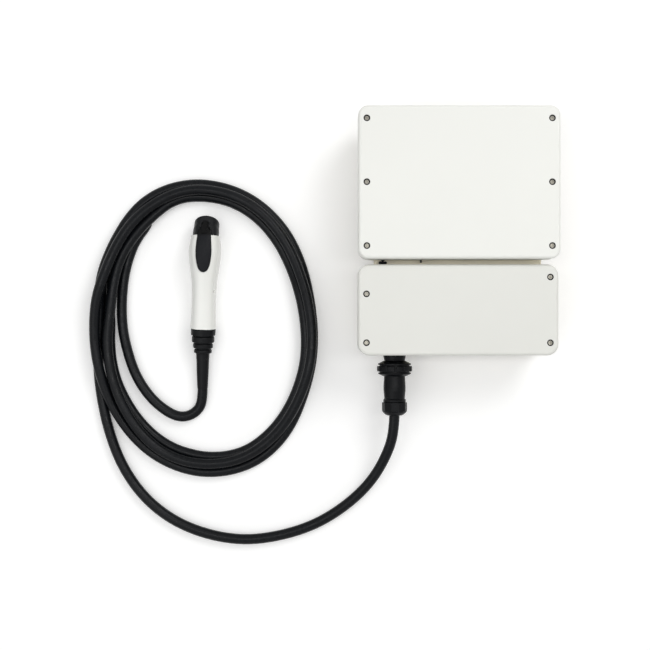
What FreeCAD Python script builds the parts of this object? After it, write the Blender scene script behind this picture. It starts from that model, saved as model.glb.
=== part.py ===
"""A wall unit in two stacked enclosures with a tethered cable and a hand-held vehicle coupler.

The unit lies on its back: X runs across its front, Y up the wall, Z out of its covers, and z = 0 is the
wall. The origin is the middle of the unit's footprint, from the top edge of the upper cover to the end of
the outlet spigot under the lower one. The cable lies on the same surface beside it, with the coupler.
All sizes are millimetres and degrees.
"""

import FreeCAD, Part
import Sketcher
import math
import os
import re

Vector = FreeCAD.Vector

SIZES = {
    # enclosures, seen from the front
    "unit_wide": 370,
    "upper_high": 280.5,
    "gap_high": 9.4,
    "lower_high": 168.4,
    "upper_corner": 18,
    "lower_corner": 21,
    "edge_soft": 5,
    # depths from the wall
    "upper_front": 174,
    "upper_seam": 134,
    "upper_back": 57,
    "lower_front": 154,
    "lower_seam": 112,
    "lower_back": 22,
    # covers
    "cover_skin": 3.5,
    "cover_land": 7,
    "cover_lip": 8,
    "cover_inset": 3,
    "lip_fit": 0.4,
    "rib_thick": 2,
    "rib_deep": 5,
    "rib_pitch": 58,
    # cast tubs
    "tub_wall": 6,
    "tub_floor": 5,
    "tub_corner": 24,
    "gasket_thick": 1.5,
    "gasket_wide": 4.6,
    # cover screws
    "screw_inset_x": 15.5,
    "screw_inset_y": 23.6,
    "left_screw_drop": 54.7,
    "screw_shank": 3,
    "screw_head": 4.9,
    "screw_head_high": 4,
    "screw_socket": 2.6,
    "screw_long": 55,
    "recess_radius": 6.2,
    "recess_deep": 6.5,
    "boss_radius": 7.5,
    "lid_post_radius": 9,
    "slide_fit": 0.3,
    "thread_fit": 0.05,
    # cooling fins
    "fin_thick": 2.6,
    "fin_pitch": 12.6,
    "fin_count": 19,
    "fin_deep": 25,
    "fin_long": 236,
    # wall bracket and what hangs on it
    "sheet_thick": 2.5,
    "bracket_wide": 262,
    "bracket_high": 104,
    "bracket_drop": 70,
    "bracket_deep": 50,
    "bend_radius": 5,
    "ear_thick": 6,
    "ear_gap": 0.5,
    "ear_high": 88,
    "ear_reach": 27,
    "pin_radius": 4,
    "pin_head": 7,
    "pin_lift": 40,
    "pin_rise": 24,
    "lock_radius": 3,
    "wall_hole": 4,
    "wall_holes_wide": 200,
    "wall_holes_high": 64,
    "foot_radius": 13,
    "foot_spread": 240,
    "foot_rise": 36,
    "foot_hole": 3.6,
    # joint between the boxes
    "link_x": 5,
    "link_wide": 316,
    "link_open": 170,
    "link_deep": 36,
    "link_lift": 82,
    "link_wall": 5,
    "link_gasket": 1,
    # mode switch and status light under the upper box
    "switch_x": -137.5,
    "switch_lift": 112,
    "bezel_wide": 19,
    "bezel_deep": 13,
    "bezel_thick": 2,
    "bezel_neck": 14,
    "bezel_rim": 3,
    "rocker_radius": 5.6,
    "rocker_fit": 0.6,
    "rocker_thick": 6,
    "toggle_reach": 9,
    "toggle_thick": 4.4,
    "trunnion_radius": 1.5,
    "trunnion_long": 1.2,
    "pivot_sink": 1,
    "light_x": -66,
    "light_radius": 3,
    "light_proud": 1.4,
    # outlet under the lower box
    "outlet_x": -113,
    "outlet_lift": 70,
    "outlet_thread": 19,
    "outlet_bore": 15,
    "flange_radius": 27,
    "flange_thick": 3.2,
    "collar_wide": 22,
    "collar_end": 19.8,
    "collar_drop": 14.3,
    "spigot_radius": 18.5,
    "spigot_long": 15.7,
    "lug_radius": 20.8,
    "lug_long": 4,
    "nut_across": 50,
    "nut_thick": 6,
    "contact_radius": 2,
    "contact_long": 20,
    "contact_circle": 8.5,
    "carrier_thick": 14,
    "spin_fit": 0.08,
    # locking ring
    "ring_long": 29.6,
    "ring_lip": 3.4,
    "ring_room": 0.6,
    "ridge_radius": 31.4,
    "middle_radius": 33.7,
    "valley_radius": 28.6,
    "ring_mouth": 20.8,
    "notch_count": 12,
    "notch_radius": 2.4,
    # cable plug and its gland
    "seal_thick": 1.2,
    "shoulder_radius": 24,
    "shoulder_thick": 5,
    "barrel_radius": 20.1,
    "barrel_swell": 21.1,
    "barrel_long": 63,
    "plug_bore": 13,
    "insert_radius": 14.4,
    "gland_thread": 17.5,
    "gland_neck": 10,
    "gland_radius": 24,
    "gland_facets": 10,
    "gland_long": 24.8,
    "gland_mouth": 14.4,
    # cable
    "cable_radius": 10,
    "cable_fit": 0.15,
    # boards and parts inside the upper box
    "board_thick": 1.6,
    "power_board_wide": 270,
    "power_board_high": 200,
    "power_board_lift": 80,
    "standoff_radius": 4,
    "standoff_inset": 9,
    "module_wide": 21,
    "module_high": 26,
    "module_thick": 5,
    "module_pitch": 38,
    "module_count": 6,
    "inductor_radius": 33,
    "inductor_core": 12,
    "inductor_high": 34,
    "capacitor_radius": 15,
    "capacitor_high": 42,
    "capacitor_pitch": 34,
    "capacitor_count": 5,
    "relay_wide": 30,
    "relay_high": 22,
    "relay_deep": 26,
    "core_wide": 42,
    "core_high": 36,
    "core_deep": 30,
    "core_leg": 9,
    "bobbin_radius": 13,
    "control_wide": 150,
    "control_high": 70,
    "control_lift": 136,
    "control_post": 3,
    # parts inside the lower box
    "rail_high": 35,
    "rail_long": 210,
    "rail_deep": 7.5,
    "rail_sheet": 1.2,
    "terminal_wide": 12,
    "terminal_high": 46,
    "terminal_deep": 40,
    "dc_terminals": 4,
    "ac_terminals": 3,
    "bar_long": 84,
    "bar_high": 11,
    "bar_thick": 8,
    "bar_holes": 6,
    "charge_board_wide": 108,
    "charge_board_high": 56,
    "charge_board_lift": 44,
    "contactor_wide": 44,
    "contactor_high": 52,
    "contactor_deep": 46,
    "sensor_radius": 21,
    "sensor_hole": 11,
    "sensor_thick": 15,
    "plug_count": 3,
    "conduit_plug": 14,
    "conduit_pitch": 48,
    "conduit_x": 40,
    # coupler, in its own frame: x across, y from the cable to the nose, z up
    "coupler_x": -483.2,
    "coupler_y": -165.55,
    "coupler_turn": -1.85,
    "shell_wall": 3,
    "shell_end": 179,
    "shell_gap": 0.05,
    "nose_pitch": 35,
    "nose_reach": 205.8,
    "nose_lift": 18.9,
    "nose_radius": 24.4,
    "nose_round": 3.2,
    "nose_skirt": 25.2,
    "nose_barrel": 14,
    "nose_taper": 8,
    "nose_hidden": 3,
    "neck_start": 34,
    "neck_radius": 21,
    "neck_long": 12,
    "neck_flange": 23,
    "flange_deep": 3.5,
    "nose_bore": 19.4,
    "fairing_wide": 20.4,
    "fairing_wall": 2.6,
    "fairing_front": 14.2,
    "fairing_high": 31.5,
    "core_radius": 17,
    "core_end": 32,
    "core_flange": 6,
    "sleeve_radius": 3.4,
    "sleeve_hole": 1.9,
    "sleeve_ring": 9.2,
    "pilot_radius": 2.5,
    "pilot_hole": 1.2,
    "lever_proud": 2.4,
    "lever_thick": 5.5,
    "lever_gap": 0.8,
    "lever_end": 189,
    "groove_radius": 1,
    "groove_pitch": 3.4,
    "groove_start": 113,
    "arm_wide": 9,
    "arm_rise": 26.6,
    "arm_thick": 3.6,
    "tray_lift": 57.5,
    "tray_wall": 2,
    "latch_pin_radius": 2,
    "latch_pin_long": 38,
    "pin_fit": 0.05,
    "latch_pin_y": 156,
    "latch_pin_lift": 64,
    "latch_boss": 4.2,
    "latch_boss_wide": 20,
    "handle_screw": 1.6,
    "handle_boss": 4.5,
    "boot_lift": 26.5,
    "boot_pitch": 7,
    "boot_spigot": 19,
    "boot_flange": 20.8,
    "boot_long": 61.2,
    "boot_collar": 24.5,
    "boot_sleeve": 12.6,
    "rib_first": 22,
    "rib_second": 19.4,
    "rib_third": 17.4,
    "rib_round": 2.4,
    "rib_valley": 17.4,
    "rib_step": 1.6,
    "clamp_thick": 9,
}

# Lines that several pieces share, as formulas of the sizes
UNIT_TOP = "((upper_high + gap_high + lower_high - cover_inset + collar_drop + spigot_long) / 2)"
UPPER_Y = f"({UNIT_TOP} - upper_high / 2)"
UPPER_BOTTOM = f"({UNIT_TOP} - upper_high)"
LOWER_TOP = f"({UPPER_BOTTOM} - gap_high)"
LOWER_Y = f"({LOWER_TOP} - lower_high / 2)"
LOWER_BOTTOM = f"({LOWER_TOP} - lower_high)"
TUB_WIDE = "(unit_wide - 2 * cover_inset)"
UPPER_RIM = "(upper_seam - gasket_thick)"
LOWER_RIM = "(lower_seam - gasket_thick)"
UPPER_FACE = f"({UPPER_BOTTOM} + cover_inset)"
LOWER_ROOF = f"({LOWER_TOP} - cover_inset)"
OUTLET_WALL = f"({LOWER_BOTTOM} + cover_inset)"
UPPER_FLOOR = "(upper_back + tub_floor)"
LOWER_FLOOR = "(lower_back + tub_floor)"
RAIL_TOP = f"({LOWER_FLOOR} + rail_deep)"
BRACKET_Y = f"({UNIT_TOP} - bracket_drop)"
PIN_Y = f"({BRACKET_Y} + pin_rise)"
LOCK_Y = f"({BRACKET_Y} - pin_rise)"
EAR_X = "(bracket_wide / 2 + ear_gap)"

SCREW_X = "(unit_wide / 2 - screw_inset_x)"
UPPER_SCREWS = [(f"{side} * {SCREW_X}", f"{UPPER_Y} + {up} * (upper_high / 2 - screw_inset_y)")
                for side in (-1, 1) for up in (-1, 0, 1)]
LOWER_SCREWS = [(f"-1 * {SCREW_X}", f"{LOWER_TOP} - left_screw_drop"),
                (f"-1 * {SCREW_X}", f"{LOWER_BOTTOM} + screw_inset_y"),
                (SCREW_X, f"{LOWER_TOP} - screw_inset_y"),
                (SCREW_X, f"{LOWER_BOTTOM} + screw_inset_y")]

DOC = FreeCAD.newDocument("ev_charger")
SHEET = DOC.addObject("Spreadsheet::Sheet", "sizes")
PIECES = []


# The sheet and formulas

def fill_sheet():
    """Writes each size and its name into a row of the sheet."""
    for row, (name, size) in enumerate(SIZES.items(), start=1):
        SHEET.set(f"A{row}", name)
        SHEET.set(f"B{row}", str(size))
        SHEET.setAlias(f"B{row}", name)
    DOC.recompute()


def formula(text):
    """The text with each size's name pointing at its cell."""
    return re.sub(r"[a-z][a-z_]+", lambda m: f"sizes.{m[0]}" if m[0] in SIZES else m[0], str(text))


def value(text):
    """What a formula comes to."""
    return float(SHEET.evalExpression(formula(text)))


def bind(item, prop, text):
    """Ties a property to a formula of the sizes."""
    item.setExpression(prop, formula(text))


# Sketches

class Drawing:
    """A sketch on a plane of its body, lifted off it along the plane's own normal.

    On XY_Plane x, y are X, Y and up is +Z; on XZ_Plane they are X, Z and up is -Y; on YZ_Plane they are
    Y, Z and up is +X.
    """

    def __init__(self, body, plane="XY_Plane", lift="0"):
        self.sketch = body.newObject("Sketcher::SketchObject", body.Name + "_sketch")
        origin = next(f for f in body.Origin.OriginFeatures if f.Role == plane)
        self.sketch.AttachmentSupport = [(origin, "")]
        self.sketch.MapMode = "FlatFace"
        bind(self.sketch, "AttachmentOffset.Base.z", lift)

    def limit(self, kind, *places, size):
        """A dimension that follows a formula."""
        number = self.sketch.addConstraint(Sketcher.Constraint(kind, *places, value(size)))
        bind(self.sketch, f"Constraints[{number}]", size)

    def join(self, kind, *places):
        """A relation with no size, such as a shared end or a tangent."""
        self.sketch.addConstraint(Sketcher.Constraint(kind, *places))

    def circle(self, x, y, radius):
        """A circle round x, y."""
        shape = Part.Circle(Vector(value(x), value(y), 0), Vector(0, 0, 1), value(radius))
        number = self.sketch.addGeometry(shape, False)
        self.limit("Radius", number, size=radius)
        self.limit("DistanceX", number, 3, size=x)
        self.limit("DistanceY", number, 3, size=y)
        return self

    def loop(self, corners):
        """A closed outline. A corner is (x, y), or (x, y, radius) where an arc leads to it.

        A positive radius turns to the left on the way, and a negative one to the right.
        """
        places = [Vector(value(c[0]), value(c[1]), 0) for c in corners]
        ends = []
        for k, corner in enumerate(corners):
            start, end = places[k - 1], places[k]
            if len(corner) == 2:
                number = self.sketch.addGeometry(Part.LineSegment(start, end), False)
                ends.append((number, 1, 2))
                continue
            radius = value(corner[2])
            half = (end - start) * 0.5
            across = Vector(-half.y, half.x, 0).normalize()
            reach = math.sqrt(max(radius ** 2 - half.Length ** 2, 0))
            centre = start + half + across * math.copysign(reach, radius)
            first, last = (start, end) if radius > 0 else (end, start)
            turns = [math.atan2(p.y - centre.y, p.x - centre.x) for p in (first, last)]
            circle = Part.Circle(centre, Vector(0, 0, 1), abs(radius))
            number = self.sketch.addGeometry(Part.ArcOfCircle(circle, *turns), False)
            ends.append((number, 1, 2) if radius > 0 else (number, 2, 1))
            size = corner[2] if radius > 0 else f"-1 * ({corner[2]})"
            if reach > 0.001:
                self.limit("Radius", number, size=size)
            else:
                self.join("Symmetric", number, 1, number, 2, number, 3)
        for k, (number, _, end) in enumerate(ends):
            after, start, _ = ends[(k + 1) % len(ends)]
            self.join("Coincident", number, end, after, start)
            self.limit("DistanceX", number, end, size=corners[k][0])
            self.limit("DistanceY", number, end, size=corners[k][1])
        return self

    def box(self, x, y, wide, high):
        """A rectangle round x, y."""
        left, right = f"{x} - {wide} / 2", f"{x} + {wide} / 2"
        low, top = f"{y} - {high} / 2", f"{y} + {high} / 2"
        return self.loop([(left, low), (right, low), (right, top), (left, top)])

    def slab(self, x, y, wide, high, radius):
        """A rectangle round x, y with rounded corners."""
        left, right = f"{x} - {wide} / 2", f"{x} + {wide} / 2"
        low, top = f"{y} - {high} / 2", f"{y} + {high} / 2"
        inner = [f"{left} + {radius}", f"{right} - {radius}", f"{low} + {radius}", f"{top} - {radius}"]
        return self.loop([(inner[1], low), (right, inner[2], radius), (right, inner[3]),
                          (inner[1], top, radius), (inner[0], top), (left, inner[3], radius),
                          (left, inner[2]), (inner[0], low, radius)])

    def hexagon(self, x, y, across, turn=0):
        """A hexagon round x, y, across its flats."""
        reach = f"{across} / 2 / cos(30)"
        return self.loop([(f"{x} + {reach} * cos({turn + 60 * k})", f"{y} + {reach} * sin({turn + 60 * k})")
                          for k in range(6)])


# Features of a body

def new_body(name, x="0", y="0", z="0"):
    """A body whose own origin is at x, y, z."""
    body = DOC.addObject("PartDesign::Body", name)
    body.Label = name
    for axis, place in (("x", x), ("y", y), ("z", z)):
        bind(body, f"Placement.Base.{axis}", place)
    PIECES.append(body)
    return body


def feature(body, kind, drawing, length=None, **settings):
    """A pad, pocket, revolution or groove of a drawing."""
    item = body.newObject("PartDesign::" + kind, body.Name + "_" + kind.lower())
    item.Profile = drawing.sketch
    if length is not None:
        bind(item, "Length", length)
    for name, setting in settings.items():
        setattr(item, name, setting)
    drawing.sketch.Visibility = False
    return item


def pad(body, drawing, length, **settings):
    return feature(body, "Pad", drawing, length, **settings)


def pocket(body, drawing, length, **settings):
    """Cuts against the drawing's normal, or along it with Reversed."""
    return feature(body, "Pocket", drawing, length, **settings)


def cut_through(body, drawing):
    """Cuts right through the body, both ways."""
    return feature(body, "Pocket", drawing, Type=1, Midplane=True)


def turned(body, corners, axis="V_Axis", angle=360, kind="Revolution"):
    """A solid turned from an outline about an axis of the body's XY plane."""
    drawing = Drawing(body).loop(corners)
    return feature(body, kind, drawing, ReferenceAxis=(drawing.sketch, [axis]), Angle=angle)


def edges_where(item, test):
    """The names of a feature's edges whose middle and direction pass a test."""
    item.recompute()
    found = []
    for number, edge in enumerate(item.Shape.Edges, start=1):
        middle = edge.valueAt((edge.FirstParameter + edge.LastParameter) / 2)
        if test(edge, middle):
            found.append(f"Edge{number}")
    return found


def soften(body, item, radius, test, kind="Fillet"):
    """Rounds, or chamfers, the edges of a feature that pass a test."""
    DOC.recompute()
    dress = body.newObject("PartDesign::" + kind, body.Name + "_" + kind.lower())
    dress.Base = (item, edges_where(item, test))
    bind(dress, "Radius" if kind == "Fillet" else "Size", radius)
    return dress


def in_row(body, items, drawing, axis, count, length):
    """Repeats features along an axis of a drawing."""
    row = body.newObject("PartDesign::LinearPattern", body.Name + "_row")
    row.Originals = items
    row.Direction = (drawing.sketch, [axis])
    bind(row, "Occurrences", count)
    bind(row, "Length", length)
    body.Tip = row
    return row


def in_circle(body, items, axis, count):
    """Repeats features round an axis of the first one's sketch."""
    ring = body.newObject("PartDesign::PolarPattern", body.Name + "_circle")
    ring.Originals = items
    ring.Axis = (items[0].Profile[0], [axis])
    ring.Angle = 360
    bind(ring, "Occurrences", count)
    body.Tip = ring
    return ring


def drill(body, places, radius, lift, length, plane="XY_Plane", **settings):
    """Round holes of one size."""
    drawing = Drawing(body, plane, lift)
    for x, y in places:
        drawing.circle(x, y, radius)
    return pocket(body, drawing, length, **settings)


def posts(body, places, radius, lift, length, plane="XY_Plane", **settings):
    """Round posts of one size."""
    drawing = Drawing(body, plane, lift)
    for x, y in places:
        drawing.circle(x, y, radius)
    return pad(body, drawing, length, **settings)


# Enclosures

def cover(name, mid_y, high, front, seam, corner, places):
    """A lid with a soft front edge, a lip round the tub and a post at each screw."""
    body = new_body(name)
    outside = Drawing(body, lift=f"{seam} - cover_lip").slab("0", mid_y, "unit_wide", high, corner)
    block = pad(body, outside, f"{front} - {seam} + cover_lip")
    top = value(front)
    soften(body, block, "edge_soft", lambda edge, p: abs(p.z - top) < 0.01)
    lip = Drawing(body, lift=f"{seam} - cover_lip")
    lip.slab("0", mid_y, f"({TUB_WIDE} + 2 * lip_fit)", f"({high} - 2 * cover_inset + 2 * lip_fit)",
             "(tub_corner + lip_fit)")
    pocket(body, lip, "cover_lip", Reversed=True)
    hollow = Drawing(body, lift=seam)
    hollow.slab("0", mid_y, "(unit_wide - 2 * cover_land)", f"({high} - 2 * cover_land)",
                "(tub_corner - cover_land + cover_inset)")
    pocket(body, hollow, f"{front} - cover_skin - {seam}", Reversed=True)
    posts(body, places, "lid_post_radius", seam, f"{front} - cover_skin - {seam}")
    rib = Drawing(body, lift=f"{front} - cover_skin - rib_deep")
    rib.box("-1 * rib_pitch * 2", mid_y, "rib_thick", f"({high} - 2 * cover_land)")
    rib.box("rib_pitch * 2", mid_y, "rib_thick", f"({high} - 2 * cover_land)")
    rib.box("0", mid_y, "rib_thick", f"({high} - 2 * cover_land)")
    pad(body, rib, "rib_deep")
    drill(body, places, "screw_shank + slide_fit", front, f"{front} - {seam} + 1")
    drill(body, places, "recess_radius", front, "recess_deep")
    return body


def cover_screws(name, places, front):
    """The socket screws that hold a lid, sunk in its recesses."""
    body = new_body(name)
    seat = f"{front} - recess_deep"
    posts(body, places, "screw_head", seat, "screw_head_high")
    posts(body, places, "screw_shank", f"{seat} - screw_long", "screw_long")
    sockets = Drawing(body, lift=f"{seat} + screw_head_high")
    for x, y in places:
        sockets.hexagon(f"({x})", f"({y})", "(2 * screw_socket)")
    pocket(body, sockets, "screw_head_high * 0.6")


def gasket(name, mid_y, high, rim):
    """The flat seal between a lid and its tub."""
    body = new_body(name)
    ring = Drawing(body, lift=rim)
    ring.slab("0", mid_y, f"({TUB_WIDE} - 1)", f"({high} - 2 * cover_inset - 1)", "(tub_corner - 0.5)")
    ring.slab("0", mid_y, f"({TUB_WIDE} - 1 - 2 * gasket_wide)",
              f"({high} - 2 * cover_inset - 1 - 2 * gasket_wide)", "(tub_corner - 0.5 - gasket_wide)")
    pad(body, ring, "gasket_thick")


def tub(name, mid_y, high, back, rim, front, places):
    """A cast tub, open to the front, with a threaded post under each screw of its lid."""
    body = new_body(name)
    outside = Drawing(body, lift=back)
    outside.slab("0", mid_y, TUB_WIDE, f"({high} - 2 * cover_inset)", "tub_corner")
    pad(body, outside, f"{rim} - {back}")
    inside = Drawing(body, lift=f"{back} + tub_floor")
    inside.slab("0", mid_y, f"({TUB_WIDE} - 2 * tub_wall)", f"({high} - 2 * cover_inset - 2 * tub_wall)",
                "(tub_corner - tub_wall)")
    pocket(body, inside, f"{rim} - {back} - tub_floor", Reversed=True)
    posts(body, places, "boss_radius", f"{back} + tub_floor", f"{rim} - {back} - tub_floor")
    screw_end = f"{front} - recess_deep - screw_long - 1"
    drill(body, places, "screw_shank + thread_fit", screw_end, f"{rim} - ({screw_end}) + 1", Reversed=True)
    return body


def upper_chassis():
    """The upper tub, with cooling fins and two hanger ears on its back."""
    body = tub("upper_chassis", UPPER_Y, "upper_high", "upper_back", UPPER_RIM, "upper_front",
               UPPER_SCREWS)
    fin = Drawing(body, lift="upper_back")
    fin.box("-1 * (fin_count - 1) / 2 * fin_pitch", UPPER_Y, "fin_thick", "fin_long")
    first = pad(body, fin, "fin_deep", Reversed=True)
    in_row(body, [first], fin, "H_Axis", "fin_count", "(fin_count - 1) * fin_pitch")
    ears = Drawing(body, lift="upper_back")
    for side in (-1, 1):
        ears.box(f"{side} * ({EAR_X} + ear_thick / 2)", BRACKET_Y, "ear_thick", "ear_high")
    pad(body, ears, "ear_reach", Reversed=True)
    for y, radius in ((PIN_Y, "pin_radius + pin_fit"), (LOCK_Y, "lock_radius + slide_fit")):
        hole = Drawing(body, "YZ_Plane").circle(y, "pin_lift", radius)
        cut_through(body, hole)
    wall = f"-1 * {UPPER_FACE}"
    duct = Drawing(body, "XZ_Plane", wall)
    duct.slab("link_x", "link_lift", "link_open", "(link_deep - 2 * link_wall)", "link_wall")
    duct.slab("switch_x", "switch_lift", "(bezel_wide - 2 * bezel_rim + 2)", "(bezel_deep + 0.2)", "1")
    duct.circle("light_x", "switch_lift", "light_radius + thread_fit")
    pocket(body, duct, "tub_wall + 1")


def lower_chassis():
    """The lower tub, with feet on the wall, the outlet's hole and closed conduit holes."""
    body = tub("lower_chassis", LOWER_Y, "lower_high", "lower_back", LOWER_RIM, "lower_front",
               LOWER_SCREWS)
    feet = [(f"{side} * foot_spread / 2", f"{LOWER_BOTTOM} + foot_rise") for side in (-1, 1)]
    posts(body, feet, "foot_radius", "0", "lower_back")
    drill(body, feet, "foot_hole", "0", f"{LOWER_FLOOR} + 1", Reversed=True)
    wall = Drawing(body, "XZ_Plane", f"-1 * {OUTLET_WALL}")
    wall.circle("outlet_x", "outlet_lift", "outlet_thread + thread_fit")
    for k in range(3):
        wall.circle(f"conduit_x + {k} * conduit_pitch", "outlet_lift", "conduit_plug + thread_fit")
    pocket(body, wall, "tub_wall + 1")
    duct = Drawing(body, "XZ_Plane", f"-1 * {LOWER_ROOF}")
    duct.slab("link_x", "link_lift", "link_open", "(link_deep - 2 * link_wall)", "link_wall")
    pocket(body, duct, "tub_wall + 1", Reversed=True)


def link_duct():
    """The cast collar that carries the wires from one box to the other, and its two seals."""
    def ring(body, start):
        drawing = Drawing(body, "XZ_Plane", start)
        drawing.slab("link_x", "link_lift", "link_wide", "link_deep", "link_wall")
        drawing.slab("link_x", "link_lift", "link_open", "(link_deep - 2 * link_wall)", "link_wall")
        return drawing

    body = new_body("link_duct")
    top = f"-1 * {UPPER_FACE}"
    span = "(gap_high + 2 * cover_inset)"
    pad(body, ring(body, f"{top} + link_gasket"), f"{span} - 2 * link_gasket")
    seals = new_body("link_gaskets")
    pad(seals, ring(seals, top), "link_gasket")
    pad(seals, ring(seals, f"{top} + {span} - link_gasket"), "link_gasket")


# Wall bracket

def wall_bracket():
    """A folded steel channel with open hooks in its wings and holes for the wall screws."""
    body = new_body("wall_bracket")
    half, sheet = "bracket_wide / 2", "sheet_thick"
    channel = Drawing(body, "XZ_Plane", f"-1 * ({BRACKET_Y} - bracket_high / 2)")
    channel.loop([(f"{half} - bend_radius", "0"), (half, "bend_radius", "bend_radius"),
                  (half, "bracket_deep"), (f"{half} - {sheet}", "bracket_deep"),
                  (f"{half} - {sheet}", "bend_radius"),
                  (f"{half} - bend_radius", sheet, f"-1 * (bend_radius - {sheet})"),
                  (f"-1 * {half} + bend_radius", sheet),
                  (f"-1 * {half} + {sheet}", "bend_radius", f"-1 * (bend_radius - {sheet})"),
                  (f"-1 * {half} + {sheet}", "bracket_deep"), (f"-1 * {half}", "bracket_deep"),
                  (f"-1 * {half}", "bend_radius"),
                  (f"-1 * {half} + bend_radius", "0", "bend_radius")])
    pad(body, channel, "bracket_high", Reversed=True)
    slot = "(pin_radius + 0.6)"
    hook = Drawing(body, "YZ_Plane")
    hook.loop([(f"{PIN_Y} - {slot}", "pin_lift"),
               (f"{PIN_Y} + {slot}", "pin_lift", slot),
               (f"{PIN_Y} + {slot}", "bracket_deep + 1"),
               (f"{PIN_Y} - {slot}", "bracket_deep + 1")])
    cut_through(body, hook)
    cut_through(body, Drawing(body, "YZ_Plane").circle(LOCK_Y, "pin_lift", "lock_radius + thread_fit"))
    corners = [(f"{side} * wall_holes_wide / 2", f"{BRACKET_Y} + {up} * wall_holes_high / 2")
               for side in (-1, 1) for up in (-1, 1)]
    drill(body, corners, "wall_hole", "0", "sheet_thick + 1", Reversed=True)
    window = Drawing(body)
    window.slab("0", BRACKET_Y, "(wall_holes_wide - 50)", "(bracket_high - 50)", "10")
    pocket(body, window, "sheet_thick + 1", Reversed=True)


def across_pins(name, y, radius, head, head_thick, inner_head):
    """A headed pin through each ear and the bracket's wing beside it."""
    body = new_body(name)
    outer = f"({EAR_X} + ear_thick)"
    inner = "(bracket_wide / 2 - sheet_thick)"
    for side, back in ((1, False), (-1, True)):
        head_face = Drawing(body, "YZ_Plane", f"{side} * {outer}").circle(y, "pin_lift", head)
        pad(body, head_face, head_thick, Reversed=back)
        shank = Drawing(body, "YZ_Plane", f"{side} * ({inner} - 0.3 - {inner_head[1]})")
        shank.circle(y, "pin_lift", radius)
        pad(body, shank, f"{outer} - {inner} + 0.3 + {inner_head[1]}", Reversed=back)
        collar = Drawing(body, "YZ_Plane", f"{side} * ({inner} - 0.3 - {inner_head[1]})")
        collar.circle(y, "pin_lift", inner_head[0])
        pad(body, collar, inner_head[1], Reversed=back)


# Switch and light under the upper box

def switch_bezel():
    """The frame round the mode switch, with a neck through the wall and seats for the trunnions."""
    body = new_body("switch_bezel", "switch_x", UPPER_FACE, "switch_lift")
    neck = "(bezel_wide - 2 * bezel_rim + 1)"
    face = Drawing(body, "XZ_Plane").slab("0", "0", "bezel_wide", "(bezel_deep + 4)", "2")
    pad(body, face, "bezel_thick")
    tube = Drawing(body, "XZ_Plane").slab("0", "0", neck, "bezel_deep", "1")
    pad(body, tube, "bezel_neck", Reversed=True)
    hole = Drawing(body, "XZ_Plane", "bezel_thick")
    hole.box("0", "0", "2 * (rocker_radius + rocker_fit)", "(rocker_thick + 2 * rocker_fit)")
    pocket(body, hole, "bezel_thick + pivot_sink + rocker_radius + rocker_fit")
    seats = Drawing(body).circle("0", "pivot_sink", "trunnion_radius + pin_fit")
    feature(body, "Pocket", seats, "rocker_thick + 2 * rocker_fit + 2 * trunnion_long", Midplane=True)


def mode_switch():
    """A stubby toggle on a round hub with a trunnion at each end."""
    body = new_body("mode_switch", "switch_x", f"{UPPER_FACE} + pivot_sink", "switch_lift")
    pad(body, Drawing(body).circle("0", "0", "rocker_radius"), "rocker_thick", Midplane=True)
    half = "toggle_thick / 2"
    bat = Drawing(body)
    bat.loop([(f"-1 * {half}", "0"), (f"-1 * {half} * 0.75", "-1 * toggle_reach + 1"),
              (f"{half} * 0.75", "-1 * toggle_reach + 1", f"{half} * 0.8"), (half, "0")])
    pad(body, bat, "rocker_thick", Midplane=True)
    pins = Drawing(body).circle("0", "0", "trunnion_radius")
    pad(body, pins, "rocker_thick + 2 * rocker_fit + 2 * trunnion_long - 0.4", Midplane=True)


def status_light():
    """A clear pipe that carries the light of a lamp on the board through the wall."""
    body = new_body("status_light", "light_x", UPPER_FACE, "switch_lift")
    turned(body, [("0", "-1 * light_proud"), ("light_radius", "0", "light_radius * 1.9"),
                  ("light_radius", "tub_wall"), ("light_radius - 1", "tub_wall + 2"),
                  ("light_radius - 1", "tub_wall + 12"), ("0", "tub_wall + 12")])


# Inside the upper box

def power_board():
    """The main board on its standoffs, and what it carries."""
    mid = UPPER_Y
    lift = "power_board_lift"
    body = new_body("power_board")
    board = Drawing(body, lift=lift)
    board.slab("0", mid, "power_board_wide", "power_board_high", "4")
    corners = [(f"{sx} * (power_board_wide / 2 - standoff_inset)",
                f"{mid} + {sy} * (power_board_high / 2 - standoff_inset)")
               for sx in (-1, 0, 1) for sy in (-1, 1)]
    pad(body, board, "board_thick")
    drill(body, corners, "1.7", lift, "board_thick", Reversed=True)
    stand = new_body("board_standoffs")
    hexes = Drawing(stand, lift=UPPER_FLOOR)
    for x, y in corners:
        hexes.hexagon(f"({x})", f"({y})", "(2 * standoff_radius)")
    pad(stand, hexes, f"{lift} - {UPPER_FLOOR}")
    posts(stand, corners, "1.6", lift, "board_thick + 1")


def power_modules():
    """Flat power packages in a row, clamped to the floor above the fins."""
    body = new_body("power_modules")
    start = "-1 * (module_count - 1) / 2 * module_pitch"
    y = f"({UPPER_Y} + power_board_high / 2 - 3 * module_high)"
    case = Drawing(body, lift=UPPER_FLOOR).box(start, y, "module_wide", "module_high")
    first = pad(body, case, "module_thick")
    legs = Drawing(body, lift=f"{UPPER_FLOOR} + module_thick / 2")
    for k in (-1, 0, 1):
        legs.box(f"({start} + {k} * module_wide / 4)", f"({y} + module_high / 2 + 1.5)", "1.4", "3")
    feet = pad(body, legs, "1")
    in_row(body, [first, feet], case, "H_Axis", "module_count", "(module_count - 1) * module_pitch")


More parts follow.
